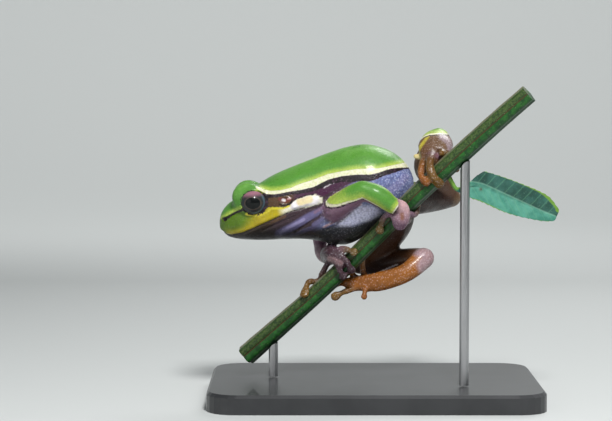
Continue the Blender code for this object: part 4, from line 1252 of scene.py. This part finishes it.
def makeLeaf():
    # a blade on its midrib: width above and below it, lifted edges, small teeth, and veins in the face
    leaf = leafSettings
    rows = evenCurve(leaf["rows"], leaf["along"])
    line = rows[:, :3]
    share = np.linspace(0, 1, leaf["along"])[:, None]
    along = unit(np.gradient(line, axis=0))
    across = unit(np.cross(along, (0.0, 1.0, 0.0)))
    across = np.where(across[:, 2:] < 0, -across, across)
    facing = np.cross(across, along)
    facing = np.where(facing[:, 1:2] > 0, -facing, facing)
    s = np.linspace(-1, 1, leaf["across"])[None, :]
    width = np.where(s > 0, rows[:, 3:4], rows[:, 4:5])
    tooth = leaf["toothDepth"] * np.abs(s) ** 6 * (1 - np.modf(share * leaf["teeth"])[0])
    sideVeins = np.cos((share * leaf["veins"] - np.abs(s) * leaf["veinSlant"]) * math.tau)
    vein = leaf["midribGroove"] * bell(s, 0.05) + leaf["veinDepth"] * sideVeins
    lift = (leaf["fold"] * (np.abs(s) - 0.5) * width / leaf["fullWidth"]
            + leaf["ripple"] * np.sin(share * leaf["rippleAlong"] + s * leaf["rippleAcross"]))
    middle = (line[:, None, :] + across[:, None, :] * (s * (width - tooth))[:, :, None]
              + facing[:, None, :] * lift[:, :, None])
    halfThick = leaf["thickness"] / 2 * (1 - 0.5 * np.abs(s) ** 4) * np.ones_like(share)
    upperSide = middle + facing[:, None, :] * (halfThick - vein)[:, :, None]
    lowerSide = middle - facing[:, None, :] * halfThick[:, :, None]
    rings = np.concatenate((upperSide, lowerSide[:, ::-1, :]), axis=1)
    stalk = evenCurve(leaf["stalk"], 20)
    stalkRings = tubeRings(stalk[:, :3], stalk[:, 3], stalk[:, 3], 14)
    thing = meshObject("greenLeaf", *joinSurfaces((ringSurface(rings), ringSurface(stalkRings))))

    points = readPoints(thing.data)
    nearest = np.clip(np.searchsorted(line[:, 0], points[:, 0]), 0, len(line) - 1)
    side = np.sum((points - line[nearest]) * across[nearest], axis=1)
    edge = np.where(side > 0, rows[nearest, 3] - side, rows[nearest, 4] + side)
    start, end = leaf["veinRise"]
    place = share[:, 0][nearest]
    spot = np.hypot(points[:, 0] - leaf["spot"][0], points[:, 2] - leaf["spot"][1])
    writeValues(thing.data, fromMidrib=side - start - (end - start) * place, fromEdge=edge,
                alongLeaf=place, spot=bell(spot, leaf["spotSize"]))
    thing.data.shade_smooth()
    return thing


leafTones = screenTones({
    # the darker pair on the next line is painted shade for the blade's upper half
    "pale": (54, 124, 106), "palest": (82, 150, 130), "deep": (26, 74, 62), "mid": (50, 104, 92),
    "veins": (96, 158, 122), "midrib": (124, 172, 150), "margin": (116, 160, 44),
    "flecks": (150, 190, 170), "spot": (62, 50, 30)})


def leafMaterial():
    material, tree, shader = newMaterial("leafFinish")
    side = attribute(tree, "fromMidrib")
    away = math2(tree, "ABSOLUTE", side)
    patch = noise(tree, 380.0, 3.0)
    grain = noise(tree, 2600.0, 3.0)
    cloud = ramp(tree, patch, 0.35, 0.65)
    pale = mixColour(tree, cloud, leafTones["pale"], leafTones["palest"])
    # painted shade: darker greens for the upper half of the blade
    deep = mixColour(tree, cloud, leafTones["deep"], leafTones["mid"])
    # side veins: a sine of the place along the leaf, less the distance from the midrib
    along = math2(tree, "MULTIPLY", attribute(tree, "alongLeaf"), 70.0)
    wave = math2(tree, "SINE", math2(tree, "SUBTRACT", along, math2(tree, "MULTIPLY", away, 2.3)))
    margin = raggedStep(tree, patch, 0.25, attribute(tree, "fromEdge"), 0.42, 0.22)
    # the half above the midrib takes the painted shade
    green = layTones(tree, mixColour(tree, ramp(tree, side, -0.12, 0.12), pale, deep),
                     (ramp(tree, wave, 0.86, 1.0), 0.35, leafTones["veins"]),
                     (ramp(tree, away, 0.22, 0.08), 0.5, leafTones["midrib"]),
                     (margin, 0.85, leafTones["margin"]),
                     (ramp(tree, grain, 0.60, 0.75), 0.25, leafTones["flecks"]),
                     (attribute(tree, "spot"), 0.9, leafTones["spot"]))
    setInputs(tree, shader, {
        "Base Color": green, "Normal": bump(tree, math2(tree, "ADD", wave, patch), 0.25, 0.08),
        "Roughness": 0.45, "Subsurface Weight": 0.08, "Subsurface Scale": 0.4 * mm})
    return material


# Stand: the plate and rods keep their solids and get a finish

def plateMaterial():
    material, tree, shader = newMaterial("plateFinish")
    colour = mixColour(tree, ramp(tree, noise(tree, 90.0, 3.0), 0.3, 0.7), (0.022, 0.023, 0.025),
                       (0.034, 0.035, 0.038))
    setInputs(tree, shader, {"Base Color": colour, "Roughness": 0.38, "Coat Weight": 0.2,
                             "Normal": bump(tree, noise(tree, 1400.0, 2.0), 0.12, 0.05)})
    return material


def rodMaterial():
    # brushed metal: the grain is stretched along the rods
    material, tree, shader = newMaterial("rodFinish")
    inputs = {"Vector": objectPlace(tree), "Scale": (1.0, 1.0, 0.08)}
    stretched = addNode(tree, "ShaderNodeMapping", inputs)
    brush = noise(tree, 2400.0, 3.0, 0.6, stretched.outputs["Vector"])
    setInputs(tree, shader, {
        "Base Color": mixColour(tree, brush, (0.42, 0.42, 0.43), (0.60, 0.60, 0.61)),
        "Metallic": 1.0, "Roughness": ramp(tree, brush, -0.6, 2.4, False)})
    return material


def giveFinish(thing, material):
    thing.data.materials.clear()
    thing.data.materials.append(material)


# Floor and light

floorSettings = {"flatRadius": 460.0, "fullRadius": 1150.0, "height": 620.0, "rings": 60, "sides": 96}


def makeFloor():
    # a level disc whose rim rises as the cube of the distance past the flat part
    floor = floorSettings
    reach = np.linspace(1.0, floor["fullRadius"], floor["rings"])
    past = np.maximum(reach - floor["flatRadius"], 0) / (floor["fullRadius"] - floor["flatRadius"])
    points, faces = ringSurface(latheRings(reach, floor["height"] * past ** 3, floor["sides"]))
    mesh = bpy.data.meshes.new("floor")
    mesh.from_pydata((points * mm).tolist(), [], faces[:-1])
    mesh.shade_smooth()
    thing = newObject("floor", mesh)
    material, tree, shader = newMaterial("floorFinish")
    setInputs(tree, shader, {"Base Color": (0.60, 0.62, 0.61, 1), "Roughness": 0.85})
    giveFinish(thing, material)


lightSettings = {
    # name: place, aim, size and watts, in millimetres
    "key": ((40, -260, 330), (-8, 0, 40), 80, 1.75),
    "fill": ((-280, -240, 90), (0, 0, 40), 240, 0.16),
    "rim": ((120, 240, 280), (0, 0, 45), 160, 0.5),
    "wall": ((0, 420, 520), (0, 1150, 260), 700, 3.2),
}


def addLights():
    for name, (place, aim, size, watts) in lightSettings.items():
        lamp = bpy.data.lights.new(name, "AREA")
        lamp.energy = watts
        lamp.size = size * mm
        thing = newObject(name, lamp)
        thing.location = [v * mm for v in place]
        thing.rotation_euler = (Vector(aim) - Vector(place)).to_track_quat("-Z", "Y").to_euler()
        thing.visible_camera = False
    world = bpy.data.worlds.new("paleRoom")
    world.use_nodes = True
    background = world.node_tree.nodes["Background"]
    setInputs(world.node_tree, background, {"Color": (0.80, 0.86, 0.90, 1), "Strength": 0.20})
    bpy.context.scene.world = world
    bpy.context.scene.view_settings.view_transform = "Standard"


addCamera()
skin = makeSkin()
giveFinish(skin, skinMaterial())
limbNames = ("upper_arm", "forearm", "hand", "thigh", "shank", "foot")
fleshNodes = ["head", "torso"] + [f"{part}_{side}" for part in limbNames for side in ("left", "right")]
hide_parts(*fleshNodes)
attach(skin, "root")

eyeFinish = eyeMaterial()
for eyeName, node, side in (("eyeLeft", "eye_left", -1), ("eyeRight", "eye_right", 1)):
    eye = makeEye(eyeName, side)
    giveFinish(eye, eyeFinish)
    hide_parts(node)
    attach(eye, "root")
print("stage: eyes made")

for piece, finish, node, slot in ((makeStem(), stemMaterial(), "stand_perch", "stem_green"),
                                  (makeLeaf(), leafMaterial(), "stand_leaf", "leaf_green")):
    giveFinish(piece, finish)
    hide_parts(node)
    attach(piece, "root")
print("stage: stem and leaf made")

rodFinish = rodMaterial()
for node, finish in (("stand_base", plateMaterial()), ("stand_rod_low", rodFinish),
                     ("stand_rod_high", rodFinish)):
    giveFinish(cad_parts[node], finish)

makeFloor()
addLights()
print("stage: floor and lights set")
